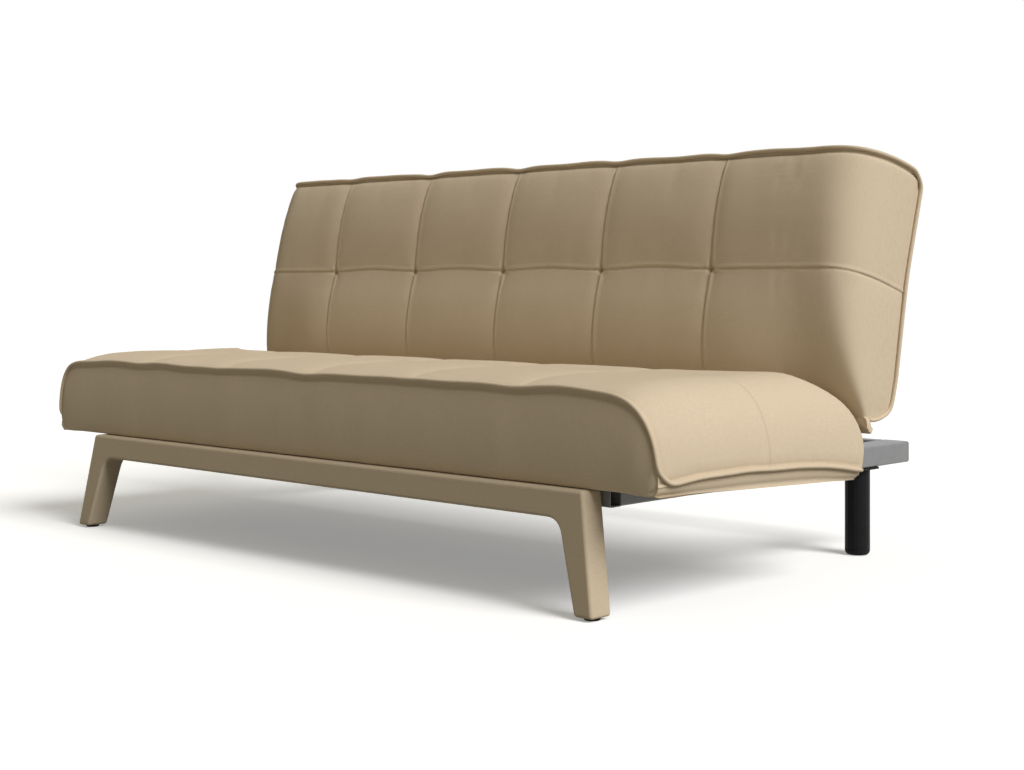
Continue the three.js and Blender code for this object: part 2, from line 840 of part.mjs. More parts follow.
function rearFoot() {
  const points = [new THREE.Vector2(0, 0)];
  for (let step = 0; step <= rearFootSteps; step += 1) {
    const angle = step / rearFootSteps * Math.PI / 2;
    const inset = rearFootRound * (1 - Math.sin(angle));
    points.push(new THREE.Vector2(rearLegRadius - inset, rearFootRound * (1 - Math.cos(angle))));
  }
  const rim = rearFootHeight - seatGap;
  const plug = rearLegRadius - rearLegWall - seatGap;
  points.push(
    new THREE.Vector2(rearLegRadius, rim),
    new THREE.Vector2(plug, rim),
    new THREE.Vector2(plug, rim + rearFootPlug),
    new THREE.Vector2(0, rim + rearFootPlug),
  );
  const foot = new THREE.LatheGeometry(points, legFaces);
  foot.rotateX(Math.PI / 2);
  foot.translate(rearLegX, rearLegY, 0);
  return foot;
}

function mountPlate() {
  const shape = roundedRect(mountPlateSize, mountPlateSize, mountPlateCorner);
  const inset = mountPlateSize / 2 - mountHoleInset;
  for (const [x, y] of [[-inset, -inset], [inset, -inset], [inset, inset], [-inset, inset]]) {
    shape.holes.push(circleHole(x, y, mountHoleRadius));
  }
  const plate = new THREE.ExtrudeGeometry(shape, {
    depth: mountPlateThickness,
    bevelEnabled: false,
    curveSegments: 3,
  });
  plate.translate(rearLegX, rearLegY, plateLow);
  return plate;
}

for (const [side, mirrored] of sides) {
  place(base, `rear_leg_${side}`, rearLeg(), blackSteel, mirrored);
  place(base, `rear_leg_foot_${side}`, rearFoot(), blackPlastic, mirrored);
  place(base, `rear_leg_plate_${side}`, mountPlate(), blackSteel, mirrored);
}

// Click clack mechanism

const pawlY = -pawlPinForward;
const pawlZ = -pawlPinBelow;

function baseBracket() {
  const shape = new THREE.Shape();
  shape.moveTo(-bracketHalfBase, -bracketDrop);
  shape.lineTo(bracketHalfBase, -bracketDrop);
  shape.lineTo(bracketHalfBase, -bracketShoulder - plateThickness);
  shape.lineTo(bracketNeck, -bracketShoulder);
  shape.lineTo(eyeRadius, 0);
  shape.absarc(0, 0, eyeRadius, 0, Math.PI);
  shape.lineTo(-bracketNeck, -bracketShoulder);
  shape.lineTo(pawlY + bracketLobe, -bracketShoulder);
  shape.lineTo(pawlY + bracketLobe, pawlZ);
  shape.absarc(pawlY, pawlZ, bracketLobe, 0, Math.PI);
  shape.lineTo(-bracketHalfBase, -bracketShoulder);
  shape.holes.push(circleHole(0, 0, pinRadius + pinClear));
  shape.holes.push(circleHole(pawlY, pawlZ, pawlPinRadius + pinClear));
  return alongX(shape, bracketX, plateThickness, plateSegments);
}

function pivotPin() {
  const inner = bracketX - seatGap;
  const outer = seatArmX + plateThickness + seatGap;
  const profile = [
    new THREE.Vector2(0, inner - pinHeadHeight),
    new THREE.Vector2(pinHeadRadius, inner - pinHeadHeight),
    new THREE.Vector2(pinHeadRadius, inner),
    new THREE.Vector2(pinRadius, inner),
    new THREE.Vector2(pinRadius, outer),
    new THREE.Vector2(pinHeadRadius, outer),
    new THREE.Vector2(pinHeadRadius, outer + pinHeadHeight),
    new THREE.Vector2(0, outer + pinHeadHeight),
  ];
  return turnedAlongX(profile, pinFaces);
}

function pawlPin() {
  const inner = bracketX - seatGap;
  const outer = backArmX + plateThickness;
  const profile = [
    new THREE.Vector2(0, inner - pawlPinHeadHeight),
    new THREE.Vector2(pawlPinHead, inner - pawlPinHeadHeight),
    new THREE.Vector2(pawlPinHead, inner),
    new THREE.Vector2(pawlPinRadius, inner),
    new THREE.Vector2(pawlPinRadius, outer),
    new THREE.Vector2(0, outer),
  ];
  const pin = turnedAlongX(profile, pinFaces);
  pin.translate(0, pawlY, pawlZ);
  return pin;
}

// Torsion spring on the inner boss of the pawl's pin: its upper leg lies on the pawl's tail and
// its foot reaches through behind the bracket's lobe
function pawlSpring() {
  const legX = backArmX + plateThickness / 2;
  const legY = pawlY - coilLegReach;
  const legZ = pawlZ + pawlTailHalf + seatGap + coilWire / 2;
  const coilEnd = bracketX - seatGap - coilWire / 2;
  const coilStart = coilEnd - coilTurns * coilPitch;
  const footY = pawlY + bracketLobe + coilFootRun;
  const footZ = pawlZ - coilFootDrop;
  const path = [
    new THREE.Vector3(legX, footY, footZ),
    new THREE.Vector3(coilStart, footY, footZ),
  ];
  const steps = coilTurns * coilStepsPerTurn;
  for (let step = 0; step <= steps; step += 1) {
    const angle = step / coilStepsPerTurn * 2 * Math.PI;
    const x = coilStart + (coilEnd - coilStart) * step / steps;
    const y = pawlY + coilRadius * Math.cos(angle);
    path.push(new THREE.Vector3(x, y, pawlZ + coilRadius * Math.sin(angle)));
  }
  path.push(new THREE.Vector3(coilEnd, legY, legZ), new THREE.Vector3(legX, legY, legZ));
  return wire(path, coilWire / 2, coilSides);
}

// Two screw holes in the part of an arm beyond start
function armHoles(shape, start, length) {
  const pitch = (length - start) * armScrewShare;
  for (const offset of [0, pitch]) {
    shape.holes.push(circleHole(length - armScrewInset - offset, armTop - armHeight / 2, armScrewRadius));
  }
}

function seatArm() {
  const shape = new THREE.Shape();
  const low = armTop - armHeight;
  shape.absarc(0, 0, eyeRadius, Math.PI / 4, Math.PI * 5 / 4);
  shape.lineTo(bracketLobe, armTop - bracketLobe);
  shape.lineTo(pocketRadius, low);
  shape.lineTo(seatArmLength - plateThickness, low);
  shape.lineTo(seatArmLength, low + plateThickness);
  shape.lineTo(seatArmLength, armTop - plateThickness);
  shape.lineTo(seatArmLength - plateThickness, armTop);
  shape.lineTo(eyeRadius * 2, armTop);
  shape.holes.push(circleHole(0, 0, pinRadius + pinClear));
  const slot = new THREE.Path();
  const slotS = pawlPinForward + pawlTail;
  const straight = slotHalfLength - slotHalfHeight;
  slot.moveTo(slotS - straight, pawlZ - slotHalfHeight);
  slot.absarc(slotS - straight, pawlZ, slotHalfHeight, -Math.PI / 2, Math.PI / 2, true);
  slot.absarc(slotS + straight, pawlZ, slotHalfHeight, Math.PI / 2, -Math.PI / 2, true);
  shape.holes.push(slot);
  armHoles(shape, slotS + slotHalfLength, seatArmLength);
  return alongX(shape, seatArmX, plateThickness, plateSegments);
}

// The sector's rim carries a notch for each position that the back clicks into
function backArm() {
  const shape = new THREE.Shape();
  const lean = Math.PI / 2 - sofaLean;
  const first = pawlTipAngle - lean;
  const notches = [first, first + loungeRecline, first + flatRecline];
  const low = armTop - armHeight;
  shape.moveTo(backArmLength, armTop);
  shape.lineTo(eyeRadius * 2, armTop);
  shape.lineTo(sectorRelief, 0);
  shape.absarc(0, 0, sectorRelief, 0, first - sectorMargin);
  const root = sectorRadius - notchDepth;
  notches.forEach((notch, index) => {
    const fall = notch - notchHalfAngle;
    const rise = notch + notchHalfAngle / 2;
    const next = notches[index + 1];
    const stop = next ? next - notchHalfAngle : notch + sectorMargin;
    shape.lineTo(sectorRadius * Math.cos(fall), sectorRadius * Math.sin(fall));
    shape.lineTo(root * Math.cos(notch), root * Math.sin(notch));
    shape.lineTo(sectorRadius * Math.cos(rise), sectorRadius * Math.sin(rise));
    shape.absarc(0, 0, sectorRadius, rise, stop);
  });
  shape.lineTo(sectorRelief, low);
  shape.lineTo(backArmLength, low);
  shape.holes.push(circleHole(0, 0, pinRadius + pinClear));
  armHoles(shape, pocketRadius, backArmLength);
  return alongX(shape, backArmX, plateThickness, plateSegments);
}

function pawl() {
  const tipReach = sectorRadius + pawlTipClear;
  const tip = new THREE.Vector2(tipReach * Math.cos(pawlTipAngle), tipReach * Math.sin(pawlTipAngle));
  const outward = tip.clone().normalize();
  const heel = tip.clone().addScaledVector(outward, pawlNose);
  const pin = new THREE.Vector2(pawlY, pawlZ);
  const ahead = tip.clone().sub(pin).normalize();
  const up = new THREE.Vector2(-ahead.y, ahead.x);
  const neck = pin.clone().addScaledVector(ahead, pawlPinForward / 3).addScaledVector(up, pawlTailHalf);
  const belly = pin.clone().addScaledVector(ahead, pawlPinForward / 3).addScaledVector(up, -pawlTailHalf);
  const shape = new THREE.Shape();
  shape.moveTo(tip.x, tip.y);
  shape.lineTo(neck.x, neck.y);
  shape.absarc(pin.x, pin.y, pawlLobe, Math.PI / 3, Math.PI - Math.PI / 5);
  shape.lineTo(pin.x - pawlTail, pin.y + pawlTailHalf);
  shape.absarc(pin.x - pawlTail, pin.y, pawlTailHalf, Math.PI / 2, Math.PI * 3 / 2);
  shape.absarc(pin.x, pin.y, pawlLobe, Math.PI + Math.PI / 5, Math.PI * 2 - Math.PI / 3);
  shape.lineTo(belly.x, belly.y);
  shape.lineTo(heel.x, heel.y);
  shape.holes.push(circleHole(pin.x, pin.y, pawlPinRadius + pinClear));
  const plate = alongX(shape, backArmX, plateThickness, plateSegments);
  const studLength = plateGap + plateThickness + plateThickness / 2;
  const stud = new THREE.CylinderGeometry(studRadius, studRadius, studLength, boltFaces);
  stud.rotateZ(Math.PI / 2);
  const studMiddle = backArmX + plateThickness + (plateGap + plateThickness / 2) / 2;
  stud.translate(studMiddle, pawlY - pawlTail, pawlZ);
  return join(plate, stud);
}

function sleeve() {
  const ring = new THREE.Shape();
  ring.absarc(0, 0, sleeveRadius, 0, Math.PI * 2);
  ring.holes.push(circleHole(0, 0, sleeveRadius - sleeveWall));
  return alongX(ring, sleeveStart, sleeveLength, plateSegments);
}

for (const [side, mirrored] of sides) {
  place(hinge, `hinge_base_bracket_${side}`, baseBracket(), zincSteel, mirrored);
  place(hinge, `hinge_pivot_pin_${side}`, pivotPin(), zincSteel, mirrored);
  place(hinge, `pawl_pin_${side}`, pawlPin(), zincSteel, mirrored);
  place(hinge, `locking_pawl_${side}`, pawl(), zincSteel, mirrored);
  place(hinge, `pawl_spring_${side}`, pawlSpring(), zincSteel, mirrored);
  place(seat, `hinge_seat_arm_${side}`, seatArm(), zincSteel, !mirrored);
  place(back, `hinge_back_arm_${side}`, backArm(), zincSteel, mirrored);
  place(back, `hinge_sleeve_${side}`, sleeve(), fabric, mirrored);
}

export default group;
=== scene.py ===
import json
import math
import re
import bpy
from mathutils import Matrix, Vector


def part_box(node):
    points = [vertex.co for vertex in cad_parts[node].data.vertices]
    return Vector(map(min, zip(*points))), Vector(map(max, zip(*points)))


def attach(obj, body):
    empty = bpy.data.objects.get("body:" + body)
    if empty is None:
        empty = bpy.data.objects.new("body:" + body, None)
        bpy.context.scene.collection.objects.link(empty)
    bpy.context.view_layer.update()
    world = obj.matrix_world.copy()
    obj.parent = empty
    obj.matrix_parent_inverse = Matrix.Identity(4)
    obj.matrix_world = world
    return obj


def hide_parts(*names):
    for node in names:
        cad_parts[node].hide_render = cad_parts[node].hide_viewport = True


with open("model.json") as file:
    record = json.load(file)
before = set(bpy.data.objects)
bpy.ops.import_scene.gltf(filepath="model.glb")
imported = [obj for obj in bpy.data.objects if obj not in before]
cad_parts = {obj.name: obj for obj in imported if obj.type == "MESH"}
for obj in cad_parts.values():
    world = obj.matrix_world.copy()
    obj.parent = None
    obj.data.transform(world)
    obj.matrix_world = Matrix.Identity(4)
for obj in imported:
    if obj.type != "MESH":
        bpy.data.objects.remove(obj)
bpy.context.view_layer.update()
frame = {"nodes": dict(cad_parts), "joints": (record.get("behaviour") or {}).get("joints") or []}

from types import SimpleNamespace

import bmesh
import bpy
import numpy as np
from mathutils import Vector, noise

# Places of the frame that everything else follows, in metres
JOINTS = {joint["name"]: joint for joint in frame["joints"]}
PIVOT = Vector(JOINTS["back_recline"]["pos_m"])
LEAN = math.radians(JOINTS["back_recline"]["range_deg"][1])
SEAT_REACH = 0.578

# Camera, solved from features of the photograph
PHOTO_SIZE = (1024, 770)
CAMERA_AZIMUTH = math.radians(43.52)
CAMERA_PLACE = (2.4466, PIVOT.y - SEAT_REACH - 1.9941, 0.5417)
FOCAL_PIXELS = 1619.6
AXIS_PIXEL = (512.56, 284.58)
SENSOR_WIDTH = 36.0

# Seams, and the spacing of the points on a cushion
SEAM_PITCH = 0.28
SEAMS_PER_SIDE = 2
OUTER_SEAM = SEAM_PITCH * SEAMS_PER_SIDE
PANEL_STEP = 0.0125
STRIP_STEP = 0.008
FINE_OFFSETS = (-0.009, -0.0055, -0.003, -0.0014, 0, 0.0014, 0.003, 0.0055, 0.009)
FINE_REACH = 0.012
FAR_REACH = 0.03
FAR_OFFSETS = (0.022, 0.016, 0.011, 0.0075, 0.0045, 0.002, 0.0)
CREASE_STEPS = 18
WALL_STEPS = 5
CEILING_STEPS = 9
BORDER_SHARES = (0.010, 0.022, 0.036, 0.052, 0.072, 0.10, 0.15, 0.23, 0.32, 0.42, 0.52, 0.62, 0.72, 0.81,
                 0.88, 0.93, 0.965, 0.988)

# Zones of one half beyond its last seam: first station, run, step and the place with extra stations
ZONES = (
    (1, 0.22, PANEL_STEP, 0),
    (2, 0.21, PANEL_STEP, 0.21),
    (3, 0.03, STRIP_STEP, 0),
)

# Hollow for the frame and slots for the hinges, on the underside
HINGE_PLACE = 0.03
SLOT = (0.7315, 0.7600)
SLOT_RADIUS = 0.056
SLOT_REACH = 0.2
CAVITY_HALF_WIDTH = 0.7915
CAVITY_MARGIN = 0.028
CAVITY_START = 0.030
CAVITY_CEILING = -0.008
CAVITY_CORNER = 0.003
CAVITY_STEP = 0.001
RING_GAP = 0.0008
RING_CLEAR = 0.012
UNDER_FAR = 0.012
UNDER_NEAR = 0.004

# Ends of a cushion, as a place and the run over which something comes in there
SAG_FROM, SAG_RUN = 0.80, 0.035
HEEL_FROM, HEEL_RUN = 0.75, 0.08
HEEL_HEIGHT, HEEL_FADE = 0.06, 0.035
CORNER_FROM, CORNER_RUN = 0.80, 0.05
CORNER_HEIGHT, CORNER_FADE = 0.03, 0.018
NARROW_HEEL, NARROW_REACH = 0.003, 0.06
STRIP_BULGE = 0.003
STRIP_LIFT = 0.001

# Far edge: where its dips end and its drop starts, in stations, and the form of the border under it
DIP_END, DIP_RUN = 2.6, 0.8
DROP_START, DROP_RUN = 1.5, 1.3
EDGE_REACH = 0.08
BORDER_SET_BACK = 0.0012
BORDER_HEIGHT = 0.12
BORDER_TUCK = 0.004

# Rise of the panels: how far from a seam, the far edge and the piping it takes, and what it loses
SEAM_RISE = 0.040
FAR_RISE = 0.024
WELT_RISE = 0.03
OUTER_RUN = 0.1
OUTER_LOSS = 0.7
LOWER_SHARE = 0.6
SINK_REACH = 0.016
SINK_EDGE = 0.02
OUTER_SINK_LOSS = 0.4
PINCH_REACH = 0.020
PINCH_END = 0.15
ARCH_REACH = 0.09
FADE_START = 2
FADE_STEPS = 8

# Cloth: what is pinned, and how the simulation runs
PIN_STATION = 2.98
PIN_STEPS = 3
PIN_SEAM = 0.0016
PIN_FAR = 0.003
PRESSURE = 4.0
LARGEST_MOVE = 0.022
CLOTH_FRAMES = 20

# Stitching and tufts
RIDGE = 0.0016
RIDGE_PLACE, RIDGE_WIDTH = 0.0040, 0.0028
CROSS_RIDGE = 1.1
CROSS_RIDGE_PLACE, CROSS_RIDGE_WIDTH = 0.0042, 0.0030
SEAM_GROOVE, SEAM_WIDTH = 0.8, 0.0016
CROSS_GROOVE, CROSS_WIDTH = 1.2, 0.0015
PIT, PIT_WIDTH = 0.0075, 0.0055
FOLD, FOLD_PLACE, FOLD_WIDTH = 0.0013, 0.015, 0.009
FOLD_COUNT, FOLD_TURN = 5, 0.6
PULL, PULL_WIDTH = 0.0032, 0.0032
PULL_PLACE, PULL_LENGTH = 0.004, 0.022
TUFT_END = 0.06
UNTUFTED = 0.2

# Piping, the dips beside it and how far it stands out
WELT_RADIUS = 0.0038
WELT_SIDES = 12
WELT_STEP = 0.006
WELT_ROUNDS = 4
WELT_END_STATION = 2.99
STATION_RUN = 0.2
DIP = 0.0024
FAR_DIP_PLACE, FAR_DIP_WIDTH = 0.0068, 0.0034
END_DIP_PLACE, END_DIP_WIDTH = 0.0066, 0.0032
BORDER_DIP_PLACE, BORDER_DIP_WIDTH = 0.0068, 0.0036
STRIP_DIP, STRIP_DIP_PLACE, STRIP_DIP_WIDTH = 0.0020, 0.0068, 0.0034
PUSH_OUT, PUSH_ALONG, PUSH_UP = 0.0026, 0.0014, 0.0022

# Slight unevenness of the fabric
BORDER_RIPPLE = 0.0012
FACE_RIPPLE = 0.0006
RIPPLE_REACH = 0.02
BROAD_RIPPLE = ((11.0, 3.0, 2.0), 7.0)
FINE_RIPPLE = ((30.0, 8.0, 6.0), 3.0)
FINE_SHARE = 0.4

# Form of each cushion in its own frame, where s runs along it from the pivot and d out of its face.
# A pair is for the left and the right end, which differ in the photograph. A list holds (s, value).
SEAT = {
    "name": "seat_upholstery",
    "node": "seat_cushion",
    "body": "seat",
    # Half width, how it spreads along s and tapers to the far edge, and the width of the rounded end
    "half_width": (0.890, 0.886),
    "spread": (0.0, 0.0),
    "spread_power": (1, 1),
    "taper": (0.004, 0.021),
    "taper_reach": 0.16,
    "round": (0.100, 0.116),
    "round_growth": (0.0, 0.0),
    # Power of the end's superellipse, and its rough height, which spaces the stations
    "power": (2.7, 2.2),
    "depth": 0.150,
    # Far edge, heights of panel and underside, the height from which they blend, and how sharply
    "length": 0.576,
    "top": 0.117,
    "bottom": -0.061,
    "heel_bottom": -0.0482,
    "root": -0.090,
    "blend": 8,
    "crown": [(0.2, 0.116), (0.3, 0.116), (0.42, 0.1165), (0.49, 0.1145), (0.53, 0.111), (0.56, 0.106),
              (0.576, 0.101)],
    "end_drop": 0.011,
    # Piping along the end, and the strip of fabric under it
    "welt_line": [(0, -0.062), (0.034, -0.059), (0.077, -0.052), (0.133, -0.045), (0.214, -0.039),
                  (0.292, -0.037), (0.364, -0.033), (0.487, -0.034), (0.562, -0.041), (0.578, -0.043)],
    "end_bottom": [(0, -0.080), (0.06, -0.079), (0.15, -0.072), (0.3, -0.066), (0.578, -0.061)],
    "strip_inset": 0.012,
    # Curves from the hinge edge up to the panel, in the middle and at the ends, and where they change
    "crease": ((-0.003, 0), (-0.001, 0.0467), (0.085, 0.108), (0.210, 0.116)),
    "end_crease": ((-0.006, 0), (-0.004, 0.042), (0.024, 0.086), (0.085, 0.116)),
    "turn": (1.4, 1.2),
    "run_steps": 14,
    # Rounding of the ends' lower corners, at the hinge edge and at the far edge
    "heel_round": 0.012,
    "corner_start": -0.2,
    "corner_round": 0.0,
    # Cross seam, its arch between the seams, and the depth of the stitching
    "cross_seam": 0.298,
    "arch": 0.0,
    "stitch": 0.0026,
    # Dips of the far edge at the seams, and its waves as height, pitch and phase
    "notch_reach": 0.045,
    "notch_s": 0.0,
    "notch_d": 0.0025,
    "wave_s": 0.0,
    "waves": [(0.0012, 0.41, 0.6), (0.0008, 0.19, 1.9)],
    # Rise of the panels, the share kept of the cloth's movement, and the sinking at tufts and seams
    "puff": 0.003,
    "swell": 0.22,
    "tuft": 0.0,
    "seam_sink": 0.0020,
    # Bulge of the border, and how deep the fabric dips beside the piping, on the face and on the border
    "border_bulge": 0.007,
    "groove": 0.5,
    "border_groove": 1.0,
    # Where the piping starts, how far from the corner it turns, and the station from which it runs
    # along the hinge edge too, or 0 for none
    "welt_start": 0.011,
    "welt_turn": 0.020,
    "welt_heel": 0,
}
BACK = {
    "name": "back_upholstery",
    "node": "back_cushion",
    "body": "back",
    "half_width": (0.874, 0.885),
    "spread": (-0.034, 0.006),
    "spread_power": (1, 2),
    "taper": (0.0, 0.0),
    "taper_reach": 0.1,
    "round": (0.090, 0.044),
    "round_growth": (0.0, 0.155),
    "power": (2.3, 2.9),
    "depth": 0.175,
    "length": 0.516,
    "top": 0.130,
    "bottom": -0.048,
    "heel_bottom": -0.048,
    "root": -0.092,
    "blend": 4,
    "crown": [(0.27, 0.1135), (0.30, 0.1165), (0.34, 0.122), (0.38, 0.127), (0.42, 0.129), (0.46, 0.128),
              (0.49, 0.125), (0.516, 0.118)],
    "end_drop": 0.0,
    "welt_line": [(0, -0.072), (0.077, -0.074), (0.122, -0.075), (0.235, -0.064), (0.320, -0.056),
                  (0.418, -0.055), (0.522, -0.054)],
    "end_bottom": [(0, -0.082), (0.122, -0.083), (0.235, -0.070), (0.320, -0.062), (0.522, -0.059)],
    "strip_inset": 0.016,
    "crease": ((0.0193, 0), (0.067, 0.0335), (0.052, 0.1135), (0.272, 0.1135)),
    "end_crease": ((0.0300, 0), (0.054, 0.012), (0.092, 0.083), (0.272, 0.1135)),
    "turn": (1.25, 0.65),
    "run_steps": 0,
    "heel_round": 0.030,
    "corner_start": -0.022,
    "corner_round": 0.020,
    "cross_seam": 0.284,
    "arch": 0.005,
    "stitch": 0.0007,
    "notch_reach": 0.030,
    "notch_s": 0.0028,
    "notch_d": 0.0015,
    "wave_s": 1.0,
    "waves": [(0.0009, 0.37, 0.4), (0.0006, 0.15, 2.2)],
    "puff": 0.004,
    "swell": 0.26,
    "tuft": 0.005,
    "seam_sink": 0.0012,
    "border_bulge": 0.006,
    "groove": 1.6,
    "border_groove": 0.8,
    "welt_start": 0.03,
    "welt_turn": 0.020,
    "welt_heel": 2.6,
}


# Placing points (x, s, d) of a cushion in the sofa's frame

def seat_place(points):
    out = np.empty_like(points)
    out[:, 0] = points[:, 0]
    out[:, 1] = PIVOT.y - points[:, 1]
    out[:, 2] = PIVOT.z + points[:, 2]
    return out


def back_place(points):
    cosine, sine = math.cos(LEAN), math.sin(LEAN)
    out = np.empty_like(points)
    out[:, 0] = points[:, 0]
    out[:, 1] = PIVOT.y + points[:, 1] * cosine - points[:, 2] * sine
    out[:, 2] = PIVOT.z + points[:, 1] * sine + points[:, 2] * cosine
    return out


SEAT["place"] = seat_place
BACK["place"] = back_place


# Curves and weights

def smoothstep(value, start=0, run=1):
    """0 up to start, 1 from start + run on, and smooth between."""
    share = np.clip((value - start) / run, 0, 1)
    return share * share * (3 - 2 * share)


def soft_min(value, reach):
    return 1 - np.exp(-np.maximum(value, 0) / reach)


def bell(value, reach):
    return np.exp(-(value / reach) ** 2)


def bezier(pulls, axis, t):
    """One coordinate of the cubic curve through four pulled points."""
    a, b, c, d = (pull[axis] for pull in pulls)
    return (1 - t) ** 3 * a + 3 * t * (1 - t) ** 2 * b + 3 * t ** 2 * (1 - t) * c + t ** 3 * d


def quadratic(start, pull, end, t):
    """Point of the curve from start to end that one point pulls."""
    return tuple((1 - t) ** 2 * a + 2 * t * (1 - t) * b + t * t * c for a, b, c in zip(start, pull, end))


def curve_at(table, s):
    """Smooth curve through a short table of (s, value)."""
    places, values = zip(*table)
    fine = np.linspace(places[0], places[-1], 200)
    height = np.interp(fine, places, values)
    for _ in range(30):
        height[1:-1] = (height[:-2] + 2 * height[1:-1] + height[2:]) / 4
    return np.interp(s, fine, height)


def noise_field(points, scale, shift):
    return np.array([
        noise.noise(Vector((p[0] * scale[0] + shift, p[1] * scale[1], p[2] * scale[2]))) for p in points
    ])


# Stations across a cushion and places along it

def refined(start, stop, step, fine):
    """Stations from start to stop about step apart, with extra ones beside each place in fine."""
    stations = list(np.linspace(start, stop, max(2, int(round((stop - start) / step)) + 1)))
    for place in fine:
        stations = [s for s in stations if abs(s - place) > FINE_REACH]
        stations += [place + offset for offset in FINE_OFFSETS]
    return np.array(sorted(s for s in stations if start - 1e-9 <= s <= stop + 1e-9))


def of_side(form, key, sign):
    left, right = form[key]
    return np.where(sign < 0, left, right)


def half_width(form, sign, s):
    far = np.clip(1 - (form["length"] - s) / form["taper_reach"], 0, 1)
    near = np.clip(1 - (s - form["crease"][0][0]) / NARROW_REACH, 0, 1)
    power = of_side(form, "spread_power", sign)
    spread = of_side(form, "spread", sign) * (np.abs(s) / form["length"]) ** power
    taper = of_side(form, "taper", sign) * far ** 2
    return of_side(form, "half_width", sign) + spread - taper - NARROW_HEEL * near ** 2


def end_round(form, sign, s):
    return of_side(form, "round", sign) + of_side(form, "round_growth", sign) * s


def end_curve(form, sign, share):
    """Superellipse of the rounded end at a share of its arc: way out and way up, both 0 to 1."""
    angle = np.linspace(0, math.pi / 2, 400)
    out, up = np.zeros_like(share), np.zeros_like(share)
    for number, hand in enumerate((-1, 1)):
        power = 2 / form["power"][number]
        wide, high = np.sin(angle) ** power, np.cos(angle) ** power
        middle = form["round"][number] + form["round_growth"][number] * form["length"] / 2
        run = np.hypot(np.diff(wide) * middle, np.diff(high) * form["depth"])
        run = np.concatenate([[0], np.cumsum(run)])
        here = sign == hand
        out = np.where(here, np.interp(share, run / run[-1], wide), out)
        up = np.where(here, np.interp(share, run / run[-1], high), up)
    return out, up


def across(form, q, sign, s):
    """Distance from the middle and height of the panel at stations q and places s."""
    wide = half_width(form, sign, s)
    curved = end_round(form, sign, s)
    flat = wide - curved
    out, up = end_curve(form, sign, np.clip(q - 2, 0, 1))
    x = np.where(q <= 1, q * OUTER_SEAM, OUTER_SEAM + np.clip(q - 1, 0, 1) * (flat - OUTER_SEAM))
    x = np.where(q > 2, flat + curved * out, x)
    low = curve_at(form["welt_line"], s)
    h = np.where(q > 2, low + (form["top"] - low) * up, form["top"])
    strip = np.clip(q - 3, 0, 1)
    x = np.where(q > 3, wide - form["strip_inset"] * strip + STRIP_BULGE * np.sin(math.pi * strip), x)
    h = np.where(q > 3, low + (curve_at(form["end_bottom"], s) + STRIP_LIFT - low) * strip, h)
    return x, h


def low_place(form, sign, q):
    """Distance from the middle of the cushion's underside at stations q."""
    wide = half_width(form, sign, HINGE_PLACE)
    flat = wide - end_round(form, sign, HINGE_PLACE)
    outer = flat + (wide - form["strip_inset"] - flat) * np.clip(q - 2, 0, 2) / 2
    inner = OUTER_SEAM + np.clip(q - 1, 0, 1) * (flat - OUTER_SEAM)
    return np.where(q <= 1, q * OUTER_SEAM, np.where(q <= 2, inner, outer))


def across_stations(form, sign):
    """Stations across one half, with a ring at each side of the slot's and the cavity's edges."""
    seams = [k * SEAM_PITCH for k in range(SEAMS_PER_SIDE + 1)]
    parts = [refined(0, OUTER_SEAM, PANEL_STEP, seams) / OUTER_SEAM]
    for zone, length, step, fine in ZONES:
        parts.append(zone + refined(0, length, step, [fine])[1:] / length)
    table = np.linspace(0, 4, 4001)
    places = low_place(form, sign, table)
    edges = []
    for edge in (*SLOT, CAVITY_HALF_WIDTH):
        edges += list(np.interp([edge - RING_GAP, edge + RING_GAP], places, table))
    kept = [
        q for q in np.concatenate(parts)
        if q in (1, 2, 3, 4) or min(abs(q - edge) for edge in edges) > RING_CLEAR
    ]
    return np.array(sorted(kept + edges))


def face_stations(form):
    """Shares of the run from the crease to the cross seam, and places s from there to the far edge."""
    cross, length = form["cross_seam"], form["length"]
    seam = [cross + offset for offset in FINE_OFFSETS]
    count = int((length - cross - FINE_REACH - FAR_REACH) / PANEL_STEP)
    rest = np.linspace(cross + FINE_REACH, length - FAR_REACH, count)
    first = np.linspace(0, 1, form["run_steps"] + 2)[1:-1]
    return first, np.concatenate([seam, rest, length - np.array(FAR_OFFSETS)])


def seam_distance(x):
    index = np.clip(np.round(x / SEAM_PITCH), -SEAMS_PER_SIDE, SEAMS_PER_SIDE)
    return x - index * SEAM_PITCH


def edge_dip(form, x):
    """How far the far edge dips at the seams, along the face and out of it."""
    notch = bell(seam_distance(x), form["notch_reach"])
    wave = sum(height * np.sin(2 * math.pi * x / pitch + turn) for height, pitch, turn in form["waves"])
    along = form["notch_s"] * notch + wave * form["wave_s"]
    return along, form["notch_d"] * notch + wave * (1 - form["wave_s"])


# Shape of a cushion

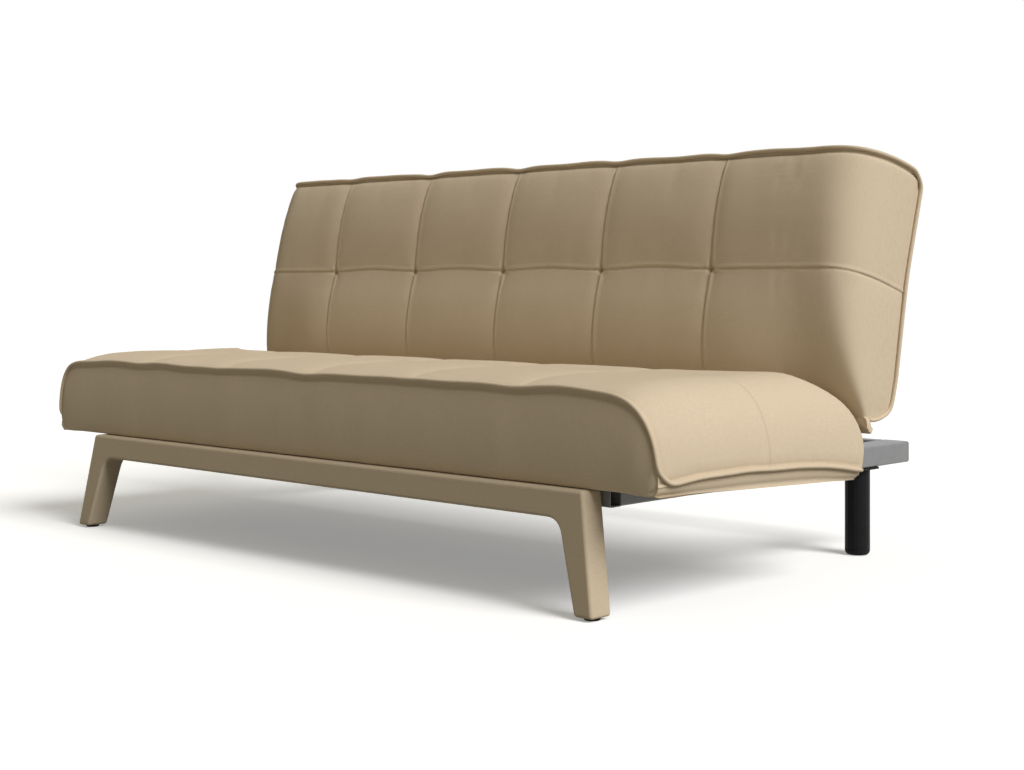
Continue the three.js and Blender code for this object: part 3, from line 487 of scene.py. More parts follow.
def face_part(form, q, sign):
    """Crease and panels: distance from the middle, place s without and with the edge's dips, height."""
    turned = smoothstep(q, *form["turn"])
    pulls = zip(form["crease"], form["end_crease"])
    crease = [[a + (b - a) * turned for a, b in zip(*pair)] for pair in pulls]
    crease_end = crease[3][0]
    t = np.linspace(0, 1, CREASE_STEPS + 1)[None, :]
    first, beyond = face_stations(form)
    run = crease_end + (form["cross_seam"] - FINE_REACH - crease_end) * first[None, :]
    rest = beyond[None, :] + 0 * q
    s = np.concatenate([bezier(crease, 0, t), run, rest], 1)
    crown = [curve_at(form["crown"], part) for part in (run, rest)]
    limit = np.concatenate([bezier(crease, 1, t), *crown], 1)
    x, h = across(form, q, sign, s)
    root, power = form["root"], -float(form["blend"])
    rise, room, full = h - root, limit - root, form["top"] - root
    d = root + (rise ** power + room ** power - full ** power) ** (1 / power)

    near_edge = np.clip(1 - (form["length"] - s) / EDGE_REACH, 0, 1)
    dip_s, dip_d = edge_dip(form, x * sign)
    on_top = np.clip((DIP_END - q) / DIP_RUN, 0, 1)
    at_end = smoothstep(q, DROP_START, DROP_RUN)
    drop = form["end_drop"] * at_end * near_edge + dip_d * on_top * near_edge ** 2
    return x, s, s - dip_s * on_top * smoothstep(near_edge), d - drop * np.clip(rise / full, 0, 1)


def end_sag(form, s, sag):
    """How much lower than its bottom a cushion lies at places s, as its ends hang down."""
    return (curve_at(form["end_bottom"], s) - form["bottom"]) * sag


def wall_part(form, x, s, d, x_low, sag, inside):
    """Hinge edge of the cushion, from its underside up to the crease."""
    wall = np.linspace(0, 1, WALL_STEPS + 1)[None, :-1]
    floor = np.where(inside, form["heel_bottom"], form["bottom"]) + end_sag(form, s, sag)
    return x_low + (x - x_low) * smoothstep(wall), s + 0 * wall, floor + (d - floor) * wall


def border_part(form, x, s, s_edge, d, x_low, sag):
    """Bulging border under the far edge."""
    v = np.array(BORDER_SHARES)[None, :]
    floor = form["bottom"] + end_sag(form, s, sag)
    size = np.clip((d - floor) / BORDER_HEIGHT, 0, 1)
    bulge = form["border_bulge"] * np.sin(math.pi * v) ** 0.7 - BORDER_TUCK * v ** 10
    return x + (x_low - x) * v ** 1.6, s_edge - BORDER_SET_BACK + bulge * size, d + (floor - d) * v


def under_part(form, x_low, sag, inside):
    """Underside, which is hollow for the frame between the ends."""
    low, bottom, high = form["heel_bottom"], form["bottom"], CAVITY_CEILING
    near, far = CAVITY_START, form["length"] - CAVITY_MARGIN
    edge, start = form["length"] - UNDER_FAR, form["crease"][0][0] + UNDER_NEAR
    step, corner = CAVITY_STEP, CAVITY_CORNER
    ceiling = np.linspace(far - corner, near + corner, CEILING_STEPS)
    hollow_s = np.array([edge, far + step, far, far, *ceiling, near, near, near - step, start])
    solid_s = np.array([edge, far + 4 * step, far + 3 * step, far + 1.5 * step, *ceiling,
                        near + step, near - step, near - 3 * step, start])
    hollow_d = np.array([bottom, bottom, bottom + corner, high - corner, *[high] * CEILING_STEPS,
                         high - corner, low + corner, low, low])
    s = np.where(inside, hollow_s[None, :], solid_s[None, :])
    flat = bottom + end_sag(form, np.clip(s, 0, form["length"]), sag)
    return x_low + 0 * s, s, np.where(inside, hollow_d[None, :], flat)


def round_corners(form, grid):
    """Rounds the ends' lower corners, at the hinge edge and at the far edge."""
    depth = np.clip(-grid[:, :, 2] / HEEL_HEIGHT, 0, 1.3)
    near = np.exp(-np.clip(grid[:, :, 1] - form["crease"][0][0], 0, 1) / HEEL_FADE)
    grid[:, :, 1] += form["heel_round"] * depth ** 2 * near * smoothstep(grid[:, :, 0], HEEL_FROM, HEEL_RUN)
    far = np.exp(-np.clip(form["length"] - grid[:, :, 1], 0, 1) / CORNER_FADE)
    drop = np.clip((form["corner_start"] - grid[:, :, 2]) / CORNER_HEIGHT, 0, 1)
    at_end = smoothstep(grid[:, :, 0], CORNER_FROM, CORNER_RUN)
    grid[:, :, 1] -= form["corner_round"] * drop ** 2 * far * at_end


def open_hinge(grid, x_low, under):
    """Slots for the hinge: there the heel of each ring lies on an arc about the pivot instead."""
    for index in np.nonzero((x_low > SLOT[0]) & (x_low < SLOT[1]))[0]:
        ring = grid[index]
        radius = np.hypot(ring[:, 1], ring[:, 2])
        first = WALL_STEPS + int(np.argmax(radius[WALL_STEPS:] > SLOT_RADIUS))
        close = (radius[under:] < SLOT_RADIUS) & (ring[under:, 1] < SLOT_REACH)
        last = under + int(np.nonzero(close)[0][0])
        turn = np.arctan2(ring[first, 2], ring[first, 1]), math.asin(CAVITY_CEILING / SLOT_RADIUS)
        arc = np.linspace(turn[1], turn[0], len(ring) - last + first)
        span = np.concatenate([np.arange(last, len(ring)), np.arange(first)])
        ring[span, 1] = SLOT_RADIUS * np.cos(arc)
        ring[span, 2] = SLOT_RADIUS * np.sin(arc)
        ring[span, 0] = ring[under, 0]


def cushion_grid(form):
    """Rings of points (x, s, d), the station of each ring, and the index where its border starts.

    A ring goes from the hinge edge over the face to the far edge, down the border and back underneath.
    Stations run 0 to 1 over the seams, to 2 at the start of the rounded end, to 3 at the piping below
    it and to 4 at the lower edge of the strip under the piping.
    """
    left, right = across_stations(form, -1), across_stations(form, 1)
    sign = np.concatenate([-np.ones(len(left) - 1), np.ones(len(right))])[:, None]
    q = np.concatenate([left[:0:-1], right])[:, None]
    x, s, s_edge, d = face_part(form, q, sign)
    x_low = low_place(form, sign, q)
    sag = smoothstep(x_low, SAG_FROM, SAG_RUN)
    inside = x_low < CAVITY_HALF_WIDTH
    parts = (
        wall_part(form, x[:, :1], s[:, :1], d[:, :1], x_low, sag, inside),
        (x, s_edge, d),
        border_part(form, x[:, -1:], s[:, -1:], s_edge[:, -1:], d[:, -1:], x_low, sag),
        under_part(form, x_low, sag, inside),
    )
    grid = np.stack([np.concatenate(axis, 1) for axis in zip(*parts)], -1)
    border = WALL_STEPS + s.shape[1]
    round_corners(form, grid)
    open_hinge(grid, x_low[:, 0], border + len(BORDER_SHARES))
    grid[:, :, 0] *= sign
    return grid, q[:, 0] * sign[:, 0], border


# Meshes

def grid_faces(rings, per_ring):
    faces = []
    for i in range(rings - 1):
        for j in range(per_ring):
            k = (j + 1) % per_ring
            faces.append((i * per_ring + j, (i + 1) * per_ring + j, (i + 1) * per_ring + k, i * per_ring + k))
    faces.append(tuple(range(per_ring)))
    faces.append(tuple((rings - 1) * per_ring + j for j in reversed(range(per_ring))))
    return faces


def new_object(name, verts, faces):
    mesh = bpy.data.meshes.new(name)
    mesh.from_pydata([tuple(v) for v in verts], [], faces)
    mesh.update()
    obj = bpy.data.objects.new(name, mesh)
    bpy.context.scene.collection.objects.link(obj)
    return obj


def ring_object(name, rings):
    """Closed object round rings that all have the same number of points."""
    verts = [point for ring in rings for point in ring]
    obj = new_object(name, verts, grid_faces(len(rings), len(rings[0])))
    outward(obj)
    return obj


def outward(obj):
    work = bmesh.new()
    work.from_mesh(obj.data)
    bmesh.ops.recalc_face_normals(work, faces=work.faces)
    if work.calc_volume(signed=True) < 0:
        bmesh.ops.reverse_faces(work, faces=work.faces)
    work.to_mesh(obj.data)
    work.free()


def read_points(mesh):
    flat = np.empty(len(mesh.vertices) * 3)
    mesh.vertices.foreach_get("co", flat)
    return flat.reshape(-1, 3)


def write_points(mesh, points):
    mesh.vertices.foreach_set("co", points.reshape(-1))
    mesh.update()


def point_normals(mesh):
    flat = np.empty(len(mesh.vertices) * 3)
    mesh.vertex_normals.foreach_get("vector", flat)
    return flat.reshape(-1, 3)


def smooth_shading(mesh):
    mesh.polygons.foreach_set("use_smooth", [True] * len(mesh.polygons))


def apply_modifiers(obj):
    graph = bpy.context.evaluated_depsgraph_get()
    mesh = bpy.data.meshes.new_from_object(obj.evaluated_get(graph), depsgraph=graph)
    old = obj.data
    obj.modifiers.clear()
    obj.data = mesh
    bpy.data.meshes.remove(old)


# Cloth: the panels swell between their pinned seams

def add_cloth(obj, pinned):
    group = obj.vertex_groups.new(name="pin")
    group.add([int(i) for i in np.nonzero(pinned)[0]], 1.0, "REPLACE")
    cloth = obj.modifiers.new("cloth", "CLOTH")
    settings = cloth.settings
    settings.vertex_group_mass = "pin"
    settings.use_pressure = True
    settings.uniform_pressure_force = PRESSURE
    settings.effector_weights.gravity = 0
    settings.quality = 6
    settings.mass = 0.3
    settings.tension_stiffness = 25
    settings.compression_stiffness = 12
    settings.shear_stiffness = 8
    settings.bending_stiffness = 1.2
    settings.shrink_min = -0.012
    cloth.collision_settings.use_collision = False


def inflate(obj, pinned, swell):
    """Runs the cloth, and keeps the share swell of how far each point moves, up to the largest move."""
    rest = read_points(obj.data)
    add_cloth(obj, pinned)
    scene = bpy.context.scene
    for step in range(1, CLOTH_FRAMES + 1):
        scene.frame_set(step)
    graph = bpy.context.evaluated_depsgraph_get()
    moved = read_points(obj.evaluated_get(graph).data)
    obj.modifiers.clear()
    obj.vertex_groups.clear()
    scene.frame_set(1)
    move = (moved - rest) * swell[:, None]
    size = np.linalg.norm(move, axis=1)
    limit = np.minimum(1, LARGEST_MOVE / np.maximum(size, 1e-9))
    write_points(obj.data, rest + move * limit[:, None])


# Upholstery of a cushion

def panel_fields(form, grid, stations, border):
    """For each point of the grid, the part it is on and how far it is from seams, piping and edges."""
    rings, per_ring = grid.shape[:2]
    q = np.abs(stations)[:, None] + np.zeros((1, per_ring))
    index = np.arange(per_ring)[None, :] + 0 * q
    on_face = (index >= WALL_STEPS) & (index < border)
    on_border = (index >= border) & (index < border + len(BORDER_SHARES))
    seam_line = int(np.argmin(np.abs(grid[rings // 2, :border, 1] - form["cross_seam"])))
    steps = np.linalg.norm(np.diff(grid[:, seam_line], axis=0), axis=1)
    run = np.concatenate([[0], np.cumsum(steps)])
    run = (run - run[rings // 2])[:, None] + 0 * q
    ends = np.argmin(np.abs(stations + 3)), np.argmin(np.abs(stations - 3))
    seam_side = seam_distance(run)
    cross_side = grid[:, :, 1] - form["cross_seam"]
    return SimpleNamespace(
        q=q,
        index=index,
        on_face=on_face,
        on_border=on_border,
        off_middle=np.abs(run),
        seam_side=seam_side,
        cross_side=cross_side,
        off_seam=np.abs(seam_side),
        off_cross=np.abs(cross_side),
        off_tuft=np.hypot(seam_side, cross_side),
        off_welt=np.minimum(np.abs(run - run[ends[0]]), np.abs(run - run[ends[1]])),
        off_far=form["length"] - grid[:, :, 1],
        fade=smoothstep(index, WALL_STEPS + FADE_START, FADE_STEPS) * (on_face & (q < 3)),
    )


def raise_panels(obj, form, grid, at):
    """Rest form of the cover: panels rise between seams that sink, and the cross seam arches."""
    outer = smoothstep(at.off_middle, OUTER_SEAM, OUTER_RUN)
    off_seams = soft_min(at.off_seam, SEAM_RISE) * soft_min(at.off_cross, SEAM_RISE)
    lower = np.where(at.cross_side < 0, LOWER_SHARE, 1)
    rise = off_seams * soft_min(at.off_far, FAR_RISE)
    rise *= soft_min(at.off_welt, WELT_RISE) * (1 - OUTER_LOSS * outer) * lower
    cross_sink = np.exp(-at.off_cross / SINK_REACH) * (1 - OUTER_SINK_LOSS * outer)
    sink = np.maximum(np.exp(-at.off_seam / SINK_REACH), cross_sink)
    sink = form["seam_sink"] * sink * soft_min(at.off_far, SINK_EDGE)
    pinch = np.where(at.off_middle < OUTER_SEAM + PINCH_END, np.exp(-at.off_tuft / PINCH_REACH), 0)
    field = (form["puff"] * rise - sink - form["tuft"] * pinch) * at.fade
    arch = form["arch"] * np.sin(math.pi * at.seam_side / SEAM_PITCH) ** 2 * bell(at.cross_side, ARCH_REACH)
    bent = grid.copy()
    bent[:, :, 1] += arch * (at.off_middle < OUTER_SEAM) * at.on_face
    write_points(obj.data, bent.reshape(-1, 3) + point_normals(obj.data) * field.reshape(-1)[:, None])


def pinned_points(at):
    """True where stitching or the frame holds the cover."""
    free = at.on_face & (at.q < PIN_STATION) & (at.index > WALL_STEPS + PIN_STEPS)
    stitched = (at.off_seam < PIN_SEAM) | (at.off_cross < PIN_SEAM) | (at.off_far < PIN_FAR)
    return (~free | (at.on_face & stitched)).reshape(-1)


def seam_detail(form, at):
    """A lapped seam is a low ridge beside a narrow groove."""
    cross_ridge = CROSS_RIDGE * bell(at.cross_side - CROSS_RIDGE_PLACE, CROSS_RIDGE_WIDTH)
    ridge = RIDGE * (bell(at.seam_side - RIDGE_PLACE, RIDGE_WIDTH) + cross_ridge)
    groove = SEAM_GROOVE * bell(at.seam_side, SEAM_WIDTH) + CROSS_GROOVE * bell(at.cross_side, CROSS_WIDTH)
    return ridge - form["stitch"] * groove


def tuft_detail(form, at):
    """A tuft is a sharp little pit with folds round it and a short pull in the seam above it."""
    angle = np.arctan2(at.cross_side, at.seam_side)
    folds = FOLD * np.cos(FOLD_COUNT * angle + FOLD_TURN) * bell(at.off_tuft - FOLD_PLACE, FOLD_WIDTH)
    pit = PIT * bell(at.off_tuft, PIT_WIDTH)
    above = np.exp(-np.abs(at.cross_side - PULL_PLACE) / PULL_LENGTH) * (at.cross_side > 0)
    pull = PULL * bell(at.seam_side, PULL_WIDTH) * above
    near_seam = np.where(at.off_middle < OUTER_SEAM + TUFT_END, 1.0, 0.0)
    return near_seam * (folds - pit - pull) * (1.0 if form["tuft"] else UNTUFTED)


def face_dip(form, at):
    """Dip of the face before the piping at its far edge and at its ends."""
    far = bell(at.off_far - FAR_DIP_PLACE, FAR_DIP_WIDTH) * form["groove"]
    return DIP * (far + bell(at.off_welt - END_DIP_PLACE, END_DIP_WIDTH))


def lower_dip(form, grid, at, border):
    """Dip of the border and of the ends' strips under the piping."""
    below = grid[:, border - 1, 2][:, None] - grid[:, :, 2]
    dip = DIP * form["border_groove"] * bell(below - BORDER_DIP_PLACE, BORDER_DIP_WIDTH)
    strip = STRIP_DIP * bell(at.off_welt - STRIP_DIP_PLACE, STRIP_DIP_WIDTH)
    return dip * at.on_border * (at.q < 3.2) + strip * (at.on_face & (at.q > 3) & (at.q < 3.7))


def ripple(points, at):
    """Slight unevenness, calmer beside the seams and none underneath."""
    field = noise_field(points, *BROAD_RIPPLE) + FINE_SHARE * noise_field(points, *FINE_RIPPLE)
    size = np.where(at.on_border, BORDER_RIPPLE, FACE_RIPPLE * soft_min(at.off_seam, RIPPLE_REACH))
    size = size * ((at.on_face | at.on_border) & (at.q < 3.6))
    return field * size.reshape(-1)


def add_details(obj, form, grid, at, border):
    points, normals = read_points(obj.data), point_normals(obj.data)
    detail = (seam_detail(form, at) + tuft_detail(form, at) - face_dip(form, at)) * at.fade
    detail = (detail - lower_dip(form, grid, at, border)).reshape(-1) + ripple(points, at)
    write_points(obj.data, points + normals * detail[:, None])


def build_cushion(form):
    """The cushion in its own frame, its final points, their stations and the index of its border."""
    grid, stations, border = cushion_grid(form)
    rings, per_ring = grid.shape[:2]
    obj = new_object(form["name"], grid.reshape(-1, 3), grid_faces(rings, per_ring))
    outward(obj)
    at = panel_fields(form, grid, stations, border)
    raise_panels(obj, form, grid, at)
    inflate(obj, pinned_points(at), form["swell"] * at.fade.reshape(-1))
    add_details(obj, form, grid, at, border)
    return obj, read_points(obj.data).reshape(rings, per_ring, 3), stations, border


# Piping

def tube_ring(centre, up, side):
    angles = [2 * math.pi * k / WELT_SIDES for k in range(WELT_SIDES)]
    return [centre + WELT_RADIUS * (math.cos(angle) * up + math.sin(angle) * side) for angle in angles]


def tube(name, path):
    """Round cord along a path, which doesn't twist."""
    rings = []
    up = None
    for i in range(len(path)):
        ahead = path[min(i + 1, len(path) - 1)] - path[max(i - 1, 0)]
        ahead = ahead / max(np.linalg.norm(ahead), 1e-12)
        if up is None:
            up = np.array([0, 0, 1.0]) if abs(ahead[2]) < 0.9 else np.array([0, 1.0, 0])
        up = up - ahead * up.dot(ahead)
        up = up / np.linalg.norm(up)
        rings.append(tube_ring(path[i], up, np.cross(ahead, up)))
    obj = ring_object(name, rings)
    smooth_shading(obj.data)
    return obj


def resample(points, step):
    length = np.concatenate([[0], np.cumsum(np.linalg.norm(np.diff(points, axis=0), axis=1))])
    at = np.linspace(0, length[-1], max(3, int(length[-1] / step)))
    return np.stack([np.interp(at, length, points[:, k]) for k in range(3)], 1)


def smooth_path(points, rounds):
    points = points.copy()
    for _ in range(rounds):
        points[1:-1] = points[1:-1] * 0.5 + (points[:-2] + points[2:]) * 0.25
    return points


def end_line(form, points, stations, border, sign):
    """Line of the piping along one end, from the hinge edge to where it turns onto the far edge."""
    end = int(np.argmin(np.abs(stations - 3 * sign)))
    line = points[end, WALL_STEPS:border]
    line = line[(line[:, 1] > form["welt_start"]) & (line[:, 1] < form["length"] - form["welt_turn"])]
    if not form["welt_heel"]:
        return line
    q = np.abs(stations)
    heel = points[(q > form["welt_heel"]) & (q < WELT_END_STATION) & (stations * sign > 0), WALL_STEPS]
    return np.concatenate([heel[np.argsort(-heel[:, 2])], line])


def build_welt(form, points, stations, border):
    """Piping of the face panel: along one end, round its corner, along the far edge, down the other end."""
    left, right = (end_line(form, points, stations, border, sign) for sign in (-1, 1))
    edge = points[np.abs(stations) < 3 - form["welt_turn"] / STATION_RUN, border - 1]
    path = smooth_path(resample(np.concatenate([left, edge, right[::-1]]), WELT_STEP), WELT_ROUNDS)
    x, s, d = path.T
    push = np.stack([
        np.sign(x) * PUSH_OUT * smoothstep(np.abs(x), 0.80, 0.06),
        PUSH_ALONG * smoothstep(s, form["length"] - 0.03, 0.03),
        PUSH_UP * smoothstep(d, form["top"] - 0.06, 0.04),
    ], 1)
    return tube(form["name"].replace("upholstery", "welt"), form["place"](path + push))


# Material nodes

def node_material(name):
    material = bpy.data.materials.new(name)
    material.use_nodes = True
    tree = material.node_tree
    return material, tree, tree.nodes["Principled BSDF"]


def link(tree, source, target):
    tree.links.new(source, target)


def math_node(tree, operation, a, b=None):
    node = tree.nodes.new("ShaderNodeMath")
    node.operation = operation
    for socket, value in zip(node.inputs, (a, b)):
        if value is None:
            continue
        if isinstance(value, (int, float)):
            socket.default_value = value
        else:
            link(tree, value, socket)
    return node.outputs[0]


def coordinates(tree, turn=0.0, scale=(1, 1, 1)):
    source = tree.nodes.new("ShaderNodeTexCoord")
    mapping = tree.nodes.new("ShaderNodeMapping")
    mapping.inputs["Rotation"].default_value = (turn, 0, 0)
    mapping.inputs["Scale"].default_value = scale
    link(tree, source.outputs["Object"], mapping.inputs["Vector"])
    return mapping.outputs["Vector"]


def scaled(tree, vector, scale):
    mapping = tree.nodes.new("ShaderNodeMapping")
    mapping.inputs["Scale"].default_value = scale
    link(tree, vector, mapping.inputs["Vector"])
    return mapping.outputs["Vector"]


def noise_node(tree, vector, scale, detail=3.0):
    node = tree.nodes.new("ShaderNodeTexNoise")
    node.inputs["Scale"].default_value = scale
    node.inputs["Detail"].default_value = detail
    node.inputs["Roughness"].default_value = 0.5
    link(tree, vector, node.inputs["Vector"])
    return node.outputs["Fac"]


def mix_colour(tree, factor, low, high):
    """Mix of two colours, each a tuple or a socket, by a number or a socket."""
    node = tree.nodes.new("ShaderNodeMix")
    node.data_type = "RGBA"
    if isinstance(factor, float):
        node.inputs["Factor"].default_value = factor
    else:
        link(tree, factor, node.inputs["Factor"])
    for socket, value in ((node.inputs[6], low), (node.inputs[7], high)):
        if isinstance(value, tuple):
            socket.default_value = (*value, 1)
        else:
            link(tree, value, socket)
    return node.outputs[2]


def map_range(tree, value, side, limits):
    """Value through a range with these limits on one side, From or To, and 0 to 1 on the other."""
    node = tree.nodes.new("ShaderNodeMapRange")
    for end, limit in zip(("Min", "Max"), limits):
        node.inputs[f"{side} {end}"].default_value = limit
    link(tree, value, node.inputs["Value"])
    return node.outputs["Result"]


def relief(tree, shader, height, strength, distance):
    bump = tree.nodes.new("ShaderNodeBump")
    bump.inputs["Strength"].default_value = strength
    bump.inputs["Distance"].default_value = distance
    link(tree, height, bump.inputs["Height"])
    link(tree, bump.outputs["Normal"], shader.inputs["Normal"])


def toned(colour, factor):
    return tuple(c * factor for c in colour)


# Fabric

LINEN = (0.610, 0.500, 0.368)
# Painted shade: a darker copy of the linen, about 0.86 of it, that stands in for the shade falling on the
# apron, the legs and the rest of the frame's fabric
LINEN_PAINTED_SHADE = (0.525, 0.430, 0.312)
WARMTH = (0.985, 0.98, 0.97)
PATCHES = (0.35, 0.65)
THREAD_PITCH = 0.0012
THREAD_SHARE = 0.25
THREAD_RELIEF = 0.0003
SLUB_SCALE = 900
BLOTCH_SCALE = 7


def threads(tree, local):
    """Crossed threads of a plain weave, as a height."""
    split = tree.nodes.new("ShaderNodeSeparateXYZ")
    link(tree, local, split.inputs[0])
    turn = 2 * math.pi / THREAD_PITCH
    waves = [math_node(tree, "SINE", math_node(tree, "MULTIPLY", split.outputs[k], turn)) for k in range(3)]
    return math_node(tree, "ADD", math_node(tree, "ADD", waves[0], waves[1]), waves[2])


def fabric(name, turn, colour):
    """Fine plain weave: crossed threads, faint slubs along both directions and a soft uneven tone."""
    material, tree, shader = node_material(name)
    local = coordinates(tree, turn)
    slub_x = noise_node(tree, scaled(tree, local, (0.10, 1, 1)), SLUB_SCALE, 2)
    slub_y = noise_node(tree, scaled(tree, local, (1, 0.10, 0.10)), SLUB_SCALE, 2)
    slubs = math_node(tree, "ADD", slub_x, slub_y)
    blotch = noise_node(tree, local, BLOTCH_SCALE)
    thick = map_range(tree, slubs, "From", (0.7, 1.3))
    tone = mix_colour(tree, thick, toned(colour, 0.94), toned(colour, 1.05))
    warm = tuple(c * f for c, f in zip(colour, WARMTH))
    body = mix_colour(tree, map_range(tree, blotch, "From", PATCHES), tone, warm)
    link(tree, mix_colour(tree, 0.5, tone, body), shader.inputs["Base Color"])
    height = math_node(tree, "ADD", math_node(tree, "MULTIPLY", threads(tree, local), THREAD_SHARE), slubs)
    relief(tree, shader, height, 0.32, THREAD_RELIEF)
    link(tree, map_range(tree, blotch, "To", (0.86, 0.96)), shader.inputs["Roughness"])
    shader.inputs["Specular IOR Level"].default_value = 0.15
    shader.inputs["Sheen Weight"].default_value = 0.12
    shader.inputs["Sheen Roughness"].default_value = 0.5
    shader.inputs["Sheen Tint"].default_value = (1.0, 0.9, 0.72, 1)
    return material


# Steel, plastic, timber and lining

def surface(name, colour, roughness, metallic, grain, grain_scale, bump_height, stretch=(1, 1, 1), gloss=0.5):
    """Painted, moulded or plated surface with a fine grain in colour, gloss and relief."""
    material, tree, shader = node_material(name)
    local = coordinates(tree, 0.0, stretch)
    fine = noise_node(tree, local, grain_scale, 4)
    broad = noise_node(tree, local, grain_scale / 18)
    patches = map_range(tree, broad, "From", PATCHES)
    tone = mix_colour(tree, patches, toned(colour, 1 - grain), toned(colour, 1 + grain))
    link(tree, tone, shader.inputs["Base Color"])
    spread = (roughness - 0.08, min(1, roughness + 0.10))
    link(tree, map_range(tree, broad, "To", spread), shader.inputs["Roughness"])
    relief(tree, shader, fine, 0.3, bump_height)
    shader.inputs["Metallic"].default_value = metallic
    shader.inputs["Specular IOR Level"].default_value = gloss
    return material


def paint(obj, material):
    obj.data.materials.clear()
    obj.data.materials.append(material)


SEAT_FABRIC = fabric("linen_seat", 0.0, LINEN)
BACK_FABRIC = fabric("linen_back", -LEAN, LINEN)
# Painted shade: the frame's fabric is the same linen as the cushions, made darker in its colour to stand in
# for the shade under the seat
BASE_FABRIC_PAINTED_SHADE = fabric("linen_base_painted_shade", 0.0, LINEN_PAINTED_SHADE)
GREY_STEEL = surface("grey_powder_coat", (0.21, 0.21, 0.22), 0.42, 0.0, 0.06, 900, 0.0002)
BLACK_STEEL = surface("black_powder_coat", (0.010, 0.010, 0.011), 0.45, 0.0, 0.15, 900, 0.0002, gloss=0.1)
BLACK_PLASTIC = surface("black_moulding", (0.012, 0.012, 0.013), 0.55, 0.0, 0.12, 1400, 0.00015, gloss=0.1)
ZINC = surface("zinc_plate", (0.42, 0.43, 0.45), 0.36, 0.9, 0.10, 700, 0.0001)
TIMBER = surface("pine", (0.55, 0.36, 0.19), 0.7, 0.0, 0.16, 160, 0.0003, (0.12, 1, 1))
LINING = surface("black_nonwoven", (0.022, 0.022, 0.023), 0.95, 0.0, 0.25, 2200, 0.0003)

# Pattern in a node's name and its material, the first that fits
NODE_MATERIALS = (
    ("^base_", GREY_STEEL),
    ("^rear_leg_foot|^front_leg_glide", BLACK_PLASTIC),
    ("^rear_leg", BLACK_STEEL),
    ("member", TIMBER),
    ("cover", LINING),
    ("^front_leg_bolt|^hinge_|spring|pawl", ZINC),
    # Other fabric parts also take the linen with painted shade
    ("", BASE_FABRIC_PAINTED_SHADE),
)


def dress_nodes():
    for name, node in frame["nodes"].items():
        paint(node, next(material for pattern, material in NODE_MATERIALS if re.search(pattern, name)))


# Front apron and legs, wrapped in one piece of fabric

LEG_INNER_TOP = 0.657
LEG_OUTER_TOP = 0.721
LEG_FOOT_WIDTH = 0.040
KNEE = 0.026
LEG_STEPS = 26
TOP_STEPS = 60
INNER_STEPS = 15
KNEE_STEPS = 6
SPAN_STEPS = 50
APRON_LAYERS = 6


def outer_line(foot, top, outer_foot):
    """Outer side of the right leg, from its foot up."""
    slope = (outer_foot - LEG_OUTER_TOP) / (top - foot)
    heights = [foot + (top - foot) * k / LEG_STEPS for k in range(LEG_STEPS + 1)]
    return [(outer_foot - slope * (z - foot), z) for z in heights]


def inner_line(foot, top, under, inner_foot):
    """Inner side of the right leg, from its foot up and round the knee to the apron."""
    def inner(z):
        return LEG_INNER_TOP + (inner_foot - LEG_INNER_TOP) * (top - z) / (top - foot)

    heights = [foot + (under - KNEE - foot) * k / INNER_STEPS for k in range(INNER_STEPS + 1)]
    line = [(inner(z), z) for z in heights]
    start, pull, end = line[-1], (inner(under), under), (inner(under) - KNEE, under)
    return line + [quadratic(start, pull, end, k / KNEE_STEPS) for k in range(1, KNEE_STEPS + 1)]


def front_outline(foot, top, under, outer_foot):
    """Outline (x, z) of the splayed legs and the apron: up the right leg, over the top and back below."""
    outer = outer_line(foot, top, outer_foot)
    inner = inner_line(foot, top, under, outer_foot - LEG_FOOT_WIDTH)
    above = [(LEG_OUTER_TOP - 2 * LEG_OUTER_TOP * k / TOP_STEPS, top) for k in range(1, TOP_STEPS)]
    reach = inner[-1][0]
    below = [(2 * reach * k / SPAN_STEPS - reach, under) for k in range(1, SPAN_STEPS)]
    left = [(-x, z) for x, z in reversed(outer)] + [(-x, z) for x, z in inner]
    return outer + above + left + below + inner[::-1]


def front_frame():
    low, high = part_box("front_leg_right")
    apron_low, apron_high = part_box("front_apron_rail")
    lean = (apron_low.y - low.y) / (high.z - low.z)
    outline = front_outline(low.z, high.z, apron_low.z, high.x)
    layers = []
    for share in np.linspace(0, 1, APRON_LAYERS):
        y = apron_low.y + (apron_high.y - apron_low.y) * share
        layers.append([(x, y - lean * (high.z - z), z) for x, z in outline])
    obj = ring_object("front_frame_cover", layers)
    bevel = obj.modifiers.new("edge", "BEVEL")
    bevel.width = 0.006
    bevel.segments = 4
    bevel.limit_method = "ANGLE"
    bevel.angle_limit = math.radians(40)
    bevel.harden_normals = True
    smooth_shading(obj.data)
    apply_modifiers(obj)
    return obj


# Gathered fabric pouch at each end of the hinge

POUCH_FIRST, POUCH_LAST = math.radians(-8), math.radians(80)
POUCH_STEPS = 34
POUCH_FRONT = 0.0072
POUCH_CLEAR = 0.0078
POUCH_SHAPE = ((0.000, 0.024), (0.020, 0.025), (0.040, 0.027), (0.055, 0.030), (0.066, 0.034),
               (0.073, 0.0365), (0.080, 0.0370), (0.085, 0.0350), (0.0885, 0.0290), (0.0905, 0.0200),
               (0.0910, 0.0130))


def pouch_ring(reach, radius):
    """Pleated ring (y, z) behind and above the pivot, which clears the seat however the back is turned."""
    ring = []
    for k in range(POUCH_STEPS + 1):
        share = k / POUCH_STEPS
        angle = POUCH_FIRST + (POUCH_LAST - POUCH_FIRST) * share
        fold = 0.080 * math.sin(15 * share + 40 * reach) + 0.045 * math.sin(31 * share - 85 * reach)
        size = radius * (1 + fold * min(1, reach / 0.05)) * (1 - 0.32 * (1 - share) ** 3)
        ring.append((size * math.cos(angle), size * math.sin(angle)))
    ring += [(POUCH_FRONT, size * share) for share in (0.95, 0.7, 0.45)]
    return [(y, max(z, (POUCH_CLEAR - y * math.cos(LEAN)) / math.sin(LEAN))) for y, z in ring]


